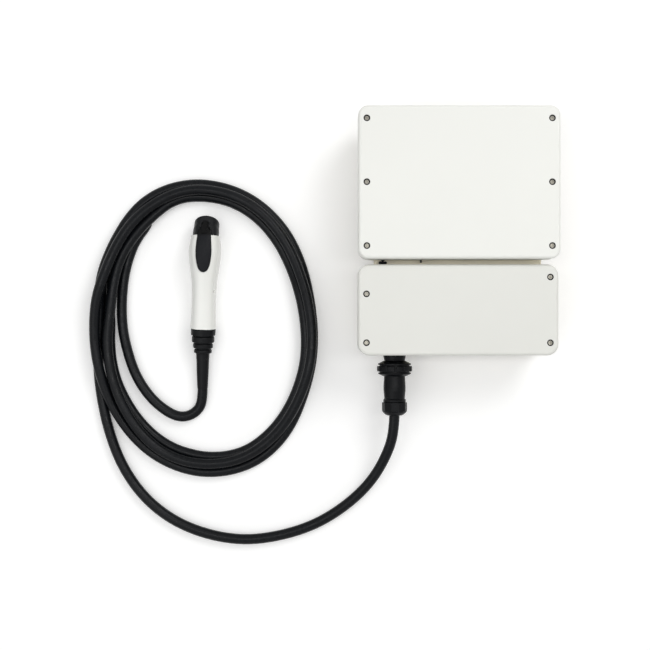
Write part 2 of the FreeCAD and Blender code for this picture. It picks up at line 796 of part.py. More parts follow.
def filter_inductors():
    """Two wound rings on the main board."""
    body = new_body("filter_inductors")
    lift = "power_board_lift + board_thick"
    places = [(f"-1 * power_board_wide / 2 + inductor_radius + 14 + {k} * (2 * inductor_radius + 8)",
               f"{UPPER_Y} - power_board_high / 2 + inductor_radius + 14") for k in (0, 1)]
    coils = posts(body, places, "inductor_radius", lift, "inductor_high")
    middle = value(lift) + value("inductor_high")
    soften(body, coils, "6", lambda edge, p: abs(p.z - middle) < 0.01)
    drill(body, places, "inductor_core", f"{lift} + inductor_high", "inductor_high - 2")


def bus_capacitors():
    """A row of cans with a pressed groove round the foot of each."""
    body = new_body("bus_capacitors", "-1 * (capacitor_count - 1) / 2 * capacitor_pitch + 38",
                    f"{UPPER_Y} + power_board_high / 2 - capacitor_radius - 12",
                    "power_board_lift + board_thick")
    profile = Drawing(body, "XZ_Plane")
    profile.loop([("0", "0"), ("capacitor_radius", "0"), ("capacitor_radius", "4"),
                  ("capacitor_radius - 1", "5"), ("capacitor_radius", "6"),
                  ("capacitor_radius", "capacitor_high - 1.5"), ("capacitor_radius - 1.5", "capacitor_high"),
                  ("0", "capacitor_high")])
    can = feature(body, "Revolution", profile, ReferenceAxis=(profile.sketch, ["V_Axis"]), Angle=360)
    in_row(body, [can], profile, "H_Axis", "capacitor_count", "(capacitor_count - 1) * capacitor_pitch")


def output_relays():
    """Two sealed relays beside the inductors."""
    body = new_body("output_relays")
    lift = "power_board_lift + board_thick"
    cases = Drawing(body, lift=lift)
    for k in (0, 1):
        cases.box("power_board_wide / 2 - relay_wide / 2 - 14",
                  f"({UPPER_Y} - power_board_high / 2 + 24 + {k} * (relay_high + 6))",
                  "relay_wide", "relay_high")
    block = pad(body, cases, "relay_deep")
    top = value(lift) + value("relay_deep")
    soften(body, block, "1.5", lambda edge, p: abs(p.z - top) < 0.01, kind="Chamfer")


def transformer():
    """A two-window core with its winding."""
    x, y = "power_board_wide / 2 - 84", f"({UPPER_Y} - power_board_high / 2 + 40)"
    body = new_body("transformer", x, y, "power_board_lift + board_thick")
    core = Drawing(body, "XZ_Plane", "-1 * core_high / 2").box("0", "core_deep / 2", "core_wide", "core_deep")
    pad(body, core, "core_high")
    windows = Drawing(body, "XZ_Plane")
    for side in (-1, 1):
        windows.box(f"{side} * (core_wide / 2 - core_leg / 2 - (core_wide - 3 * core_leg) / 4 - core_leg / 2)",
                    "core_deep / 2", "(core_wide - 3 * core_leg) / 2", "(core_deep - core_leg)")
    cut_through(body, windows)
    coil = Drawing(body, lift="core_leg / 2").slab("0", "0", "(core_wide - 2 * core_leg - 0.6)",
                                                   "(core_high + 8)", "5")
    pad(body, coil, "core_deep - core_leg")


def control_board():
    """The logic board, carried above the power board on long posts."""
    body = new_body("control_board")
    y = f"({UPPER_Y} + 18)"
    plate = Drawing(body, lift="control_lift").slab("0", y, "control_wide", "control_high", "3")
    pad(body, plate, "board_thick")
    chips = Drawing(body, lift="control_lift + board_thick")
    chips.box("-30", y, "22", "22")
    chips.box("24", f"({y} + 12)", "14", "10")
    chips.box("24", f"({y} - 12)", "18", "8")
    chips.box("58", y, "8", "44")
    pad(body, chips, "2.4")
    stand = new_body("control_posts")
    corners = [(f"{sx} * (control_wide / 2 - 6)", f"{y} + {sy} * (control_high / 2 - 6)")
               for sx in (-1, 1) for sy in (-1, 1)]
    posts(stand, corners, "control_post", "power_board_lift + board_thick",
          "control_lift - power_board_lift - board_thick")


# Inside the lower box

def din_rail():
    """A top-hat rail across the lower box, on its two feet."""
    body = new_body("din_rail")
    y, sheet = f"({LOWER_Y} + 14)", "rail_sheet"
    half, step = "rail_high / 2", "(rail_high / 2 - 5)"
    hat = Drawing(body, "YZ_Plane", "-1 * rail_long / 2")
    top, low = RAIL_TOP, LOWER_FLOOR
    hat.loop([(f"{y} - {half}", top), (f"{y} - {half}", f"{top} - {sheet}"),
              (f"{y} - {step}", f"{top} - {sheet}"), (f"{y} - {step}", low), (f"{y} + {step}", low),
              (f"{y} + {step}", f"{top} - {sheet}"), (f"{y} + {half}", f"{top} - {sheet}"),
              (f"{y} + {half}", top), (f"{y} + {step} - {sheet}", top),
              (f"{y} + {step} - {sheet}", f"{low} + {sheet}"),
              (f"{y} - {step} + {sheet}", f"{low} + {sheet}"), (f"{y} - {step} + {sheet}", top)])
    pad(body, hat, "rail_long")


def rail_blocks(name, start, count):
    """Terminal blocks side by side on the rail, each with a screw well and a wire mouth."""
    body = new_body(name)
    y = f"({LOWER_Y} + 14)"
    case = Drawing(body, "YZ_Plane", start)
    low, half = RAIL_TOP, "terminal_high / 2"
    case.loop([(f"{y} - {half}", low), (f"{y} + {half}", low),
               (f"{y} + {half}", f"{low} + terminal_deep * 0.55"),
               (f"{y} + {half} * 0.6", f"{low} + terminal_deep"),
               (f"{y} - {half} * 0.6", f"{low} + terminal_deep"),
               (f"{y} - {half}", f"{low} + terminal_deep * 0.55")])
    first = pad(body, case, "terminal_wide - 0.6")
    wells = Drawing(body, lift=f"{low} + terminal_deep")
    for side in (-1, 1):
        wells.circle(f"({start}) + terminal_wide / 2 - 0.3", f"{y} + {side} * {half} * 0.4", "2.6")
    holes = pocket(body, wells, "terminal_deep * 0.5")
    in_row(body, [first, holes], Drawing(body), "H_Axis", count, f"({count} - 1) * terminal_wide")


def ground_bar():
    """A brass bar with a row of screw holes, on the floor of the lower box."""
    body = new_body("ground_bar")
    x, y = "2", f"({LOWER_BOTTOM} + 50)"
    bar = Drawing(body, lift=LOWER_FLOOR).box(f"({x})", y, "bar_long", "bar_high")
    pad(body, bar, "bar_thick")
    hole = Drawing(body, lift=f"{LOWER_FLOOR} + bar_thick")
    hole.circle(f"{x} - (bar_holes - 1) / 2 * bar_long / bar_holes", y, "2.4")
    first = pocket(body, hole, "bar_thick - 2")
    in_row(body, [first], hole, "H_Axis", "bar_holes", "(bar_holes - 1) * bar_long / bar_holes")


def charging_board():
    """The board that talks to the vehicle, on four moulded posts."""
    body = new_body("charging_board")
    x = "(unit_wide / 2 - charge_board_wide / 2 - 34)"
    y = f"({OUTLET_WALL} + tub_wall + 4 + charge_board_high / 2)"
    lift = "charge_board_lift"
    plate = Drawing(body, lift=lift).slab(x, y, "charge_board_wide", "charge_board_high", "3")
    pad(body, plate, "board_thick")
    corners = [(f"{x} + {sx} * (charge_board_wide / 2 - 6)", f"{y} + {sy} * (charge_board_high / 2 - 6)")
               for sx in (-1, 1) for sy in (-1, 1)]
    posts(body, corners, "3", LOWER_FLOOR, f"{lift} - {LOWER_FLOOR}")
    parts = Drawing(body, lift=f"{lift} + board_thick")
    parts.box(f"({x} - 30)", f"({y} + 14)", "20", "18")
    parts.box(f"({x} + 22)", f"({y} + 14)", "34", "16")
    pad(body, parts, "9")
    drums = [(f"{x} + {dx}", f"{y} - 14") for dx in (-34, -14, 6)]
    posts(body, drums, "7", f"{lift} + board_thick", "18")


def contactor():
    """The two-pole switch that connects the vehicle, standing on the floor by the outlet."""
    x, y = "-1 * (unit_wide / 2 - contactor_wide / 2 - 28)", f"({LOWER_Y} + 20)"
    body = new_body("contactor", x, y, LOWER_FLOOR)
    case = pad(body, Drawing(body).box("0", "0", "contactor_wide", "contactor_high"), "contactor_deep * 0.6")
    neck = Drawing(body, lift="contactor_deep * 0.6")
    neck.box("0", "0", "contactor_wide", "contactor_high * 0.62")
    pad(body, neck, "contactor_deep * 0.4")
    wells = [(f"{sx} * contactor_wide / 4", f"{sy} * contactor_high * 0.4")
             for sx in (-1, 1) for sy in (-1, 1)]
    drill(body, wells, "3", "contactor_deep * 0.6", "10")
    return case


def current_sensor():
    """A ring that the outlet's wires pass through, in its moulded stand."""
    body = new_body("current_sensor", "outlet_x + 48", f"{OUTLET_WALL} + tub_wall + 28",
                    f"{LOWER_FLOOR} + sensor_radius + 2")
    ring = Drawing(body, "XZ_Plane").circle("0", "0", "sensor_radius")
    pad(body, ring, "sensor_thick", Midplane=True)
    stand = Drawing(body, lift="-1 * sensor_radius - 2").box("0", "0", "2 * sensor_radius", "sensor_thick")
    pad(body, stand, "sensor_radius * 0.6")
    hole = Drawing(body, "XZ_Plane").circle("0", "0", "sensor_hole")
    cut_through(body, hole)


def conduit_plugs():
    """Blanks that close the unused conduit holes, each with a slot for a coin."""
    body = new_body("conduit_plugs")
    wall = f"-1 * {OUTLET_WALL}"
    start = "conduit_x"
    head = Drawing(body, "XZ_Plane", wall).circle(start, "outlet_lift", "conduit_plug + 3")
    first = pad(body, head, "2")
    thread = Drawing(body, "XZ_Plane", wall).circle(start, "outlet_lift", "conduit_plug")
    second = pad(body, thread, "tub_wall + 3", Reversed=True)
    slot = Drawing(body, "XZ_Plane", f"{wall} + 2").box(start, "outlet_lift", "conduit_plug", "2.4")
    third = pocket(body, slot, "1.2")
    in_row(body, [first, second, third], head, "H_Axis", "plug_count", "(plug_count - 1) * conduit_pitch")


# Outlet and plug, turned about the outlet's axis; y runs from the wall of the tub down to the cable

def outlet_body(name):
    return new_body(name, "outlet_x", OUTLET_WALL, "outlet_lift")


SPIGOT_END = "(-1 * collar_drop - spigot_long)"
PLUG_START = f"({SPIGOT_END} - seal_thick)"
RING_TOP = "(-1 * collar_drop - slide_fit)"
RING_END = f"({RING_TOP} - ring_long)"
SHOULDER_TOP = f"({PLUG_START} - 2)"
SHOULDER_END = f"({SHOULDER_TOP} - shoulder_thick)"
BARREL_END = f"({PLUG_START} - barrel_long)"
GLAND_SEAT = f"({BARREL_END} - gland_neck)"
GLAND_START = f"({BARREL_END} - slide_fit)"
GLAND_END = f"({GLAND_START} - gland_long)"


def outlet_flange():
    """The fixed socket: a threaded neck through the wall, a plate, a tapered collar and a spigot."""
    body = outlet_body("outlet_flange")
    neck = "tub_wall + nut_thick + 4"
    turned(body, [("outlet_bore", neck), ("outlet_bore", SPIGOT_END),
                  ("spigot_radius - 1", SPIGOT_END), ("spigot_radius", f"{SPIGOT_END} + 1"),
                  ("spigot_radius", "-1 * collar_drop"), ("collar_end", "-1 * collar_drop"),
                  ("collar_wide", "-1 * flange_thick"), ("flange_radius - 0.8", "-1 * flange_thick"),
                  ("flange_radius", "-1 * flange_thick + 0.8"), ("flange_radius", "0"),
                  ("outlet_thread", "0"), ("outlet_thread", neck)])
    low = f"{RING_TOP} - ring_lip - slide_fit - 2"
    lug = turned(body, [("spigot_radius - 1", low), ("lug_radius", low),
                        ("lug_radius", f"{low} - lug_long"), ("spigot_radius - 1", f"{low} - lug_long")],
                 angle=36)
    in_circle(body, [lug], "V_Axis", "3")


def outlet_lock_nut():
    """The thin nut that clamps the socket from inside the box."""
    body = outlet_body("outlet_lock_nut")
    flats = Drawing(body, "XZ_Plane", "-1 * tub_wall - nut_thick").hexagon("0", "0", "nut_across")
    pad(body, flats, "nut_thick")
    bore = Drawing(body, "XZ_Plane", "-1 * tub_wall - nut_thick").circle("0", "0", "outlet_thread + thread_fit")
    pocket(body, bore, "nut_thick", Reversed=True)


def contact_places():
    """Five contacts: four on a circle and one in the middle."""
    ring = [(f"contact_circle * cos({45 + 90 * k})", f"contact_circle * sin({45 + 90 * k})")
            for k in range(4)]
    return ring + [("0", "0")]


def outlet_contacts():
    """The moulded carrier in the socket and the pins that stand in it."""
    carrier = outlet_body("contact_carrier")
    disc = Drawing(carrier, "XZ_Plane", "-1 * carrier_thick / 2").circle("0", "0", "outlet_bore - thread_fit")
    pad(carrier, disc, "carrier_thick")
    drill(carrier, contact_places(), "contact_radius + thread_fit", "-1 * carrier_thick / 2",
          "carrier_thick", "XZ_Plane", Reversed=True)
    pins = outlet_body("contact_pins")
    posts(pins, contact_places(), "contact_radius", "-1 * carrier_thick / 2 - 4",
          "carrier_thick + 4 + contact_long", "XZ_Plane")


def plug_insert():
    """The moulding in the plug that takes the pins."""
    body = outlet_body("plug_insert")
    start = "carrier_thick / 2 + 2"
    disc = Drawing(body, "XZ_Plane", start).circle("0", "0", "insert_radius")
    pad(body, disc, f"-1 * {PLUG_START} - ({start}) - slide_fit")
    drill(body, contact_places(), "contact_radius + slide_fit", start, "contact_long", "XZ_Plane",
          Reversed=True)


def coupling_ring():
    """The locking ring: three ridges, notched round the middle one for grip."""
    body = outlet_body("coupling_ring")
    lip_end = f"{RING_TOP} - ring_lip"
    low_lip = f"{SHOULDER_END} - slide_fit"
    outside = [("collar_end", RING_TOP), ("ridge_radius", f"{RING_TOP} - ring_long * 0.195"),
               ("ridge_radius", f"{RING_TOP} - ring_long * 0.275"),
               ("valley_radius", f"{RING_TOP} - ring_long * 0.3"),
               ("valley_radius", f"{RING_TOP} - ring_long * 0.35"),
               ("middle_radius - 0.8", f"{RING_TOP} - ring_long * 0.36"),
               ("middle_radius", f"{RING_TOP} - ring_long * 0.4"),
               ("middle_radius", f"{RING_TOP} - ring_long * 0.66"),
               ("middle_radius - 0.8", f"{RING_TOP} - ring_long * 0.7"),
               ("valley_radius", f"{RING_TOP} - ring_long * 0.71"),
               ("valley_radius", f"{RING_TOP} - ring_long * 0.76"),
               ("ridge_radius", f"{RING_TOP} - ring_long * 0.79"),
               ("ridge_radius", f"{RING_TOP} - ring_long * 0.86"),
               ("ring_mouth + 2", RING_END), ("barrel_radius + spin_fit", RING_END)]
    inside = [("barrel_radius + spin_fit", low_lip), ("shoulder_radius + ring_room", low_lip),
              ("shoulder_radius + ring_room", lip_end), ("spigot_radius + spin_fit", lip_end),
              ("spigot_radius + spin_fit", RING_TOP)]
    turned(body, outside + inside)
    notch = Drawing(body, "XZ_Plane", f"-1 * ({RING_TOP} - ring_long * 0.34)")
    notch.circle("0", "middle_radius + notch_radius - 1.4", "notch_radius")
    cut = pocket(body, notch, "ring_long * 0.38", Reversed=True)
    in_circle(body, [cut], "N_Axis", "notch_count")


def plug_body():
    """The cable plug: a shoulder inside the ring, a slightly swollen barrel and the gland's thread."""
    body = outlet_body("plug_body")
    grip = f"({RING_END} - {BARREL_END})"
    turned(body, [("plug_bore", PLUG_START), ("plug_bore", f"{BARREL_END} + 14"),
                  ("cable_radius * 0.85", f"{BARREL_END} + 6"), ("cable_radius * 0.85", GLAND_SEAT),
                  ("gland_thread", GLAND_SEAT), ("gland_thread", BARREL_END),
                  ("barrel_radius - 0.4", BARREL_END),
                  ("barrel_swell + 0.4", f"{BARREL_END} + 1"),
                  ("barrel_swell + 0.6", f"{BARREL_END} + 4.5"),
                  ("barrel_radius - 0.6", f"{BARREL_END} + 7"),
                  ("barrel_swell", f"{BARREL_END} + {grip} * 0.45"),
                  ("barrel_swell", f"{BARREL_END} + {grip} * 0.62"),
                  ("barrel_radius", f"{RING_END} - 1"),
                  ("barrel_radius", SHOULDER_END), ("shoulder_radius", SHOULDER_END),
                  ("shoulder_radius", SHOULDER_TOP), ("spigot_radius", SHOULDER_TOP),
                  ("spigot_radius", PLUG_START)])


def plug_seal():
    """The flat ring that seals the plug against the spigot."""
    turned(outlet_body("plug_seal"),
           [("outlet_bore + 0.5", SPIGOT_END), ("outlet_bore + 0.5", PLUG_START),
            ("spigot_radius - 0.5", PLUG_START), ("spigot_radius - 0.5", SPIGOT_END)])


def gland_nut():
    """The domed nut that grips the cable: flats round its skirt, cut from a turned blank."""
    body = outlet_body("gland_nut")
    skirt_end = f"({GLAND_START} - gland_long * 0.64)"
    cave = f"({GLAND_SEAT} - 8)"
    turned(body, [("gland_thread + thread_fit", GLAND_START), ("gland_radius - 0.8", GLAND_START),
                  ("gland_radius", f"{GLAND_START} - 1.2"), ("gland_radius", skirt_end),
                  ("gland_radius - 1.6", f"{skirt_end} - gland_long * 0.12"),
                  ("gland_mouth + 3.4", f"{GLAND_END} + 1.6"), ("gland_mouth", GLAND_END),
                  ("cable_radius + cable_fit", GLAND_END), ("cable_radius + cable_fit", cave),
                  ("gland_thread + thread_fit", cave)])
    reach = "gland_radius"
    flat = Drawing(body, "XZ_Plane", f"-1 * {GLAND_START} - 1")
    across = "gland_radius * cos(180 / gland_facets)"
    flat.box("0", f"({across} + 5)", f"({reach} * 2)", "10")
    first = pocket(body, flat, "gland_long * 0.66 + 1", Reversed=True)
    in_circle(body, [first], "N_Axis", "gland_facets")


def gland_seal():
    """The rubber sleeve that the nut squeezes on the cable."""
    turned(outlet_body("gland_seal"),
           [("cable_radius + thread_fit", GLAND_SEAT), ("gland_thread - 0.3", GLAND_SEAT),
            ("gland_thread - 0.3", f"{GLAND_SEAT} - 5"), ("gland_thread - 2", f"{GLAND_SEAT} - 8"),
            ("cable_radius + thread_fit", f"{GLAND_SEAT} - 8")])


# Coupler, in its own frame: x across, y from the cable to the nose, z up

# The handle's rounded sections: place along it, half width, half height and height of the middle
HANDLE_FORM = [(-10, 25, 25, 25.8), (0, 25, 25, 26.5), (25, 24, 25.5, 28), (55, 23.5, 26, 30),
               (85, 24.2, 27.5, 33), (115, 28, 31, 37), (142, 31, 33, 40), (165, 30, 32, 41),
               (182, 26.6, 33, 36), (190, 25.5, 33, 31), (202, 25.5, 28, 26.4)]
ROUNDNESS = 2.3
SECTION_POINTS = 28

# One side of the lever's outline from above, from the tip of its tail to its front corner
LEVER_SIDE = [(0, 107.9), (6.2, 110.4), (10, 116.6), (12.8, 127), (14.3, 139), (14.6, 148),
              (13.9, 162), (12.5, 178), (11.4, 192)]

# Where screws join the halves of the handle: y and z
HANDLE_SCREWS = [(34, 12), (72, 13), (112, 17), (72, 46)]


def ahead(y, z, roll="0"):
    """The placement formula of a point of the coupler, rolled about its cross axis."""
    x = f"coupler_x - ({y}) * sin(coupler_turn)"
    up = f"coupler_y + ({y}) * cos(coupler_turn)"
    turn = f"create(<<rotation>>; coupler_turn; 0; {roll})"
    return f"create(<<placement>>; create(<<vector>>; {x}; {up}; {z}); {turn})"


NOSE = ahead("nose_reach", "nose_lift", "-1 * nose_pitch")
BOOT = ahead("0", "boot_lift", "boot_pitch")


def coupler_body(name, where):
    """A body placed in the coupler's frame."""
    body = DOC.addObject("PartDesign::Body", name)
    body.Label = name
    bind(body, "Placement", where)
    PIECES.append(body)
    return body


def formed(name, shape):
    """A piece whose shape is made here and whose placement is the coupler's."""
    item = DOC.addObject("Part::Feature", name)
    item.Label = name
    item.Shape = shape
    bind(item, "Placement", ahead("0", "0"))
    PIECES.append(item)
    return item


def section(y, wide, high, middle):
    """A closed rounded outline across the handle."""
    points = []
    for k in range(SECTION_POINTS):
        turn = 2 * math.pi * k / SECTION_POINTS
        across, up = math.cos(turn), math.sin(turn)
        points.append(Vector(wide * math.copysign(abs(across) ** (2 / ROUNDNESS), across), y,
                             middle + high * math.copysign(abs(up) ** (2 / ROUNDNESS), up)))
    curve = Part.BSplineCurve()
    curve.interpolate(points, PeriodicFlag=True)
    return Part.Wire([curve.toShape()])


def handle_form(grow=0):
    """The handle's smooth body, larger or smaller all round."""
    outlines = [section(y, wide + grow, high + grow, middle) for y, wide, high, middle in HANDLE_FORM]
    return Part.makeLoft(outlines, True, False)


def lever_outline(grow=0):
    """The lever's teardrop outline from above, larger all round by a margin."""
    side = [Vector(x, y, 0) for x, y in LEVER_SIDE]
    whole = [Vector(-p.x, p.y, 0) for p in reversed(side[1:])] + side
    points = []
    for k, p in enumerate(whole):
        along = whole[min(k + 1, len(whole) - 1)] - whole[max(k - 1, 0)]
        outward = Vector(along.y, -along.x, 0).normalize()
        points.append(p + outward * grow)
    curve = Part.BSplineCurve()
    curve.interpolate(points)
    return Part.Wire([curve.toShape(), Part.makeLine(points[-1], points[0])])


def lever_column(grow, low, high=110):
    """The lever's outline drawn up from one height to another."""
    base = lever_outline(grow)
    base.translate(Vector(0, 0, low))
    return Part.Face(base).extrude(Vector(0, 0, high - low))


def cylinder_across(x, y, z, radius, length):
    """A cylinder along the cross axis, starting at x."""
    return Part.makeCylinder(radius, length, Vector(x, y, z), Vector(1, 0, 0))


def in_nose(shape):
    """A shape drawn in the nose's frame, put in the coupler's."""
    shape.Placement = FreeCAD.Placement(Vector(0, value("nose_reach"), value("nose_lift")),
                                        FreeCAD.Rotation(Vector(1, 0, 0), -value("nose_pitch")))
    return shape


def in_boot(shape):
    """A shape drawn in the boot's frame, put in the coupler's."""
    shape.Placement = FreeCAD.Placement(Vector(0, 0, value("boot_lift")),
                                        FreeCAD.Rotation(Vector(1, 0, 0), value("boot_pitch")))
    return shape


def nose_outline(grow="0"):
    """The nose's outside from its axis at the mouth back to the end of the skirt."""
    skirt_end = "-1 * neck_start - nose_skirt"
    return [("0", "0"), (f"nose_radius - nose_round + {grow}", "0"),
            (f"nose_radius + {grow}", "-1 * nose_round", "-1 * nose_round"),
            (f"nose_radius + {grow}", "-1 * nose_barrel"),
            (f"nose_skirt + {grow}", "-1 * nose_barrel - nose_taper"),
            (f"nose_skirt + {grow}", skirt_end), ("0", skirt_end)]


def behind_skirt(grow="0"):
    """What the skirt lacks: all behind the neck's start and a little inside the shells' front edge."""
    rise = "tan(nose_pitch)"
    edge = f"((nose_reach - shell_end + nose_hidden + {grow}) / cos(nose_pitch))"
    start = f"neck_start + {grow}"
    turn_at = f"(({start} - {edge}) / {rise})"
    return [(f"-1 * ({start})", turn_at), (f"-1 * ({start})", "-70"), ("-120", "-70"),
            ("-120", f"(120 - {edge}) / {rise}")]


def nose_shell():
    """The head: barrel, skirt, a neck that the shells clamp, and the latch's open fairing on top."""
    body = coupler_body("nose_shell", NOSE)
    turned(body, nose_outline())
    back = Drawing(body, "YZ_Plane").loop(behind_skirt())
    cut_through(body, back)
    neck_end = "(neck_start + neck_long)"
    turned(body, [("0", "-1 * neck_start + 1"), ("neck_radius", "-1 * neck_start + 1"),
                  ("neck_radius", f"-1 * {neck_end} + flange_deep"),
                  ("neck_flange", f"-1 * {neck_end} + flange_deep"), ("neck_flange", f"-1 * {neck_end}"),
                  ("0", f"-1 * {neck_end}")])
    half = "fairing_wide / 2"
    rear = "-1 * neck_start - 1"
    ring = Drawing(body, lift="nose_radius")
    ring.loop([(f"-1 * {half}", rear), (half, rear), (half, f"-1 * fairing_front - {half}"),
               (f"-1 * {half}", f"-1 * fairing_front - {half}", half)])
    pad(body, ring, "fairing_high - nose_radius")
    slope = Drawing(body, "YZ_Plane")
    slope.loop([("-1 * fairing_front + 1", "nose_skirt - 1"), ("-1 * fairing_front + 1", "fairing_high + 5"),
                (f"{rear} - 1", "fairing_high + 5"), (f"{rear} - 1", "fairing_high - 0.6")])
    cut_through(body, slope)
    inner = "(fairing_wide / 2 - fairing_wall)"
    window = Drawing(body, lift="fairing_high + 5")
    front = f"-1 * fairing_front - fairing_wall - {inner}"
    window.loop([(f"-1 * {inner}", f"{rear} - 30"), (inner, f"{rear} - 30"), (inner, front),
                 (f"-1 * {inner}", front, inner)])
    pocket(body, window, "fairing_high + 5 - nose_skirt + 1.4")
    under = Drawing(body, "YZ_Plane")
    under.loop([(f"{rear} - 26", "nose_skirt - 3.6"), (rear, "nose_skirt - 1.3"), (rear, "nose_skirt + 9"),
                (f"{rear} - 26", "nose_skirt + 9")])
    feature(body, "Groove", under, ReferenceAxis=(under.sketch, ["H_Axis"]), Angle=66, Midplane=True)
    turned(body, [("0", "5"), ("0", f"-1 * {neck_end} - 5"), ("core_radius + 0.5", f"-1 * {neck_end} - 5"),
                  ("core_radius + 0.5", "-1 * core_end - core_flange"),
                  ("nose_bore", "-1 * core_end - core_flange"), ("nose_bore", "5")], kind="Groove")


def sleeve_places(kind):
    """The three power contacts, or the two small signal contacts, as places across the nose."""
    if kind == "power":
        return [(f"sleeve_ring * cos({turn})", f"sleeve_ring * sin({turn})") for turn in (36, 144, 270)]
    return [(f"{side} * sleeve_ring * 1.16 * cos(-25)", "sleeve_ring * 1.16 * sin(-25)")
            for side in (-1, 1)]


def nose_contacts():
    """The moulded core with its five contacts, and the seal round its foot."""
    core = coupler_body("contact_insert", NOSE)
    turned(core, [("0", "-2"), ("core_radius - 0.6", "-2"), ("core_radius", "-2.6"),
                  ("core_radius", "-1 * core_end"), ("nose_bore - shell_gap", "-1 * core_end"),
                  ("nose_bore - shell_gap", "-1 * core_end - core_flange"),
                  ("0", "-1 * core_end - core_flange")])
    bores = Drawing(core, "XZ_Plane")
    for kind, radius in (("power", "sleeve_radius"), ("pilot", "pilot_radius")):
        for x, z in sleeve_places(kind):
            bores.circle(x, z, f"{radius} + shell_gap")
    pocket(core, bores, "core_end + core_flange + 5", Reversed=False, Type=1, Midplane=True)
    sleeves = coupler_body("contact_sleeves", NOSE)
    rows = (("power", "sleeve_radius", "sleeve_hole"), ("pilot", "pilot_radius", "pilot_hole"))
    for kind, radius, _ in rows:
        posts(sleeves, sleeve_places(kind), radius, "3.5", "core_end + core_flange + 2", "XZ_Plane")
    for kind, _, hole in rows:
        drill(sleeves, sleeve_places(kind), hole, "3.5", "26", "XZ_Plane", Reversed=True)
    seal = coupler_body("nose_seal", NOSE)
    turned(seal, [("core_radius + shell_gap", "-1 * core_end + 1.4"), ("core_radius + shell_gap", "-1 * core_end"),
                  ("nose_bore - shell_gap", "-1 * core_end"), ("nose_bore - shell_gap", "-1 * core_end + 1.4")])


def solid_of(corners, axis_start=Vector(0, 0, 0), axis=Vector(0, 1, 0)):
    """A solid turned about an axis from corners given as formulas."""
    points = [Vector(value(c[0]), value(c[1]), 0) for c in corners]
    face = Part.Face(Part.makePolygon(points + points[:1]))
    return face.revolve(axis_start, axis, 360)


def nose_room():
    """The space that the nose and its neck take in the shells, with a small gap all round."""
    room = solid_of(nose_outline("shell_gap"))
    back = [Vector(-60, value(y), value(z)) for y, z in behind_skirt("shell_gap")]
    room = room.cut(Part.Face(Part.makePolygon(back + back[:1])).extrude(Vector(120, 0, 0)))
    neck_end = "(neck_start + neck_long)"
    neck = solid_of([("0", "-20"), ("neck_radius + shell_gap", "-20"),
                     ("neck_radius + shell_gap", f"-1 * {neck_end} + flange_deep + shell_gap"),
                     ("neck_flange + shell_gap", f"-1 * {neck_end} + flange_deep + shell_gap"),
                     ("neck_flange + shell_gap", f"-1 * {neck_end} - 2"), ("0", f"-1 * {neck_end} - 2")])
    return in_nose(room.fuse(neck))


def handle_shells():
    """The two halves of the handle: a thin wall, the lever's tray, a bulkhead at the neck and bosses."""
    wall, gap, thin = value("shell_wall"), value("lever_gap"), value("tray_wall")
    end, floor = value("shell_end"), value("tray_lift")
    rear = in_boot(Part.makeBox(120, 60, 120, Vector(-60, -60, -60)))
    inner_rear = in_boot(Part.makeBox(120, 60 + wall, 120, Vector(-60, -60, -60)))
    outside = handle_form().cut(rear)
    outside = outside.cut(Part.makeBox(120, 80, 160, Vector(-60, end, -20)))
    hollow = handle_form(-wall).cut(inner_rear)
    shell = outside.cut(hollow)
    tray = lever_column(gap + thin, floor - thin).common(outside)
    neck_middle = value("neck_start + neck_long - flange_deep")
    plate = in_nose(Part.makeBox(120, 5, 120, Vector(-60, -neck_middle, -60)))
    bulkhead = plate.common(hollow).common(outside)
    pin_y, pin_z = value("latch_pin_y"), value("latch_pin_lift")
    seat = cylinder_across(-21, pin_y, pin_z, value("latch_pin_radius") + 2.6, 42).common(outside)
    bosses = [cylinder_across(-40, y, z, value("handle_boss"), 80).common(outside)
              for y, z in HANDLE_SCREWS]
    shell = shell.fuse([tray, bulkhead, seat] + bosses)
    spigot = Part.makeCylinder(value("boot_spigot + shell_gap"), 30, Vector(0, -5, 0), Vector(0, 1, 0))
    cuts = [lever_column(gap, floor), nose_room(), in_boot(spigot),
            cylinder_across(-19.2, pin_y, pin_z, value("latch_pin_radius + pin_fit"), 38.4)]
    for y, z in HANDLE_SCREWS:
        cuts.append(cylinder_across(-12, y, z, value("handle_screw + shell_gap"), 24))
        cuts.append(cylinder_across(12, y, z, value("handle_screw + 1.5"), 40))
    shell = shell.cut(cuts)
    for name, x in (("handle_shell_left", -80), ("handle_shell_right", 0)):
        formed(name, shell.common(Part.makeBox(80, 300, 200, Vector(x, -40, -40))))


def handle_screws():
    """Small screws that join the halves from the right side."""
    body = coupler_body("handle_screws", ahead("0", "0"))
    heads = Drawing(body, "YZ_Plane", "12")
    shanks = Drawing(body, "YZ_Plane", "12")
    for y, z in HANDLE_SCREWS:
        heads.circle(f"{y}", f"{z}", "handle_screw + 1.2")
        shanks.circle(f"{y}", f"{z}", "handle_screw")
    pad(body, heads, "2")
    pad(body, shanks, "23", Reversed=True)


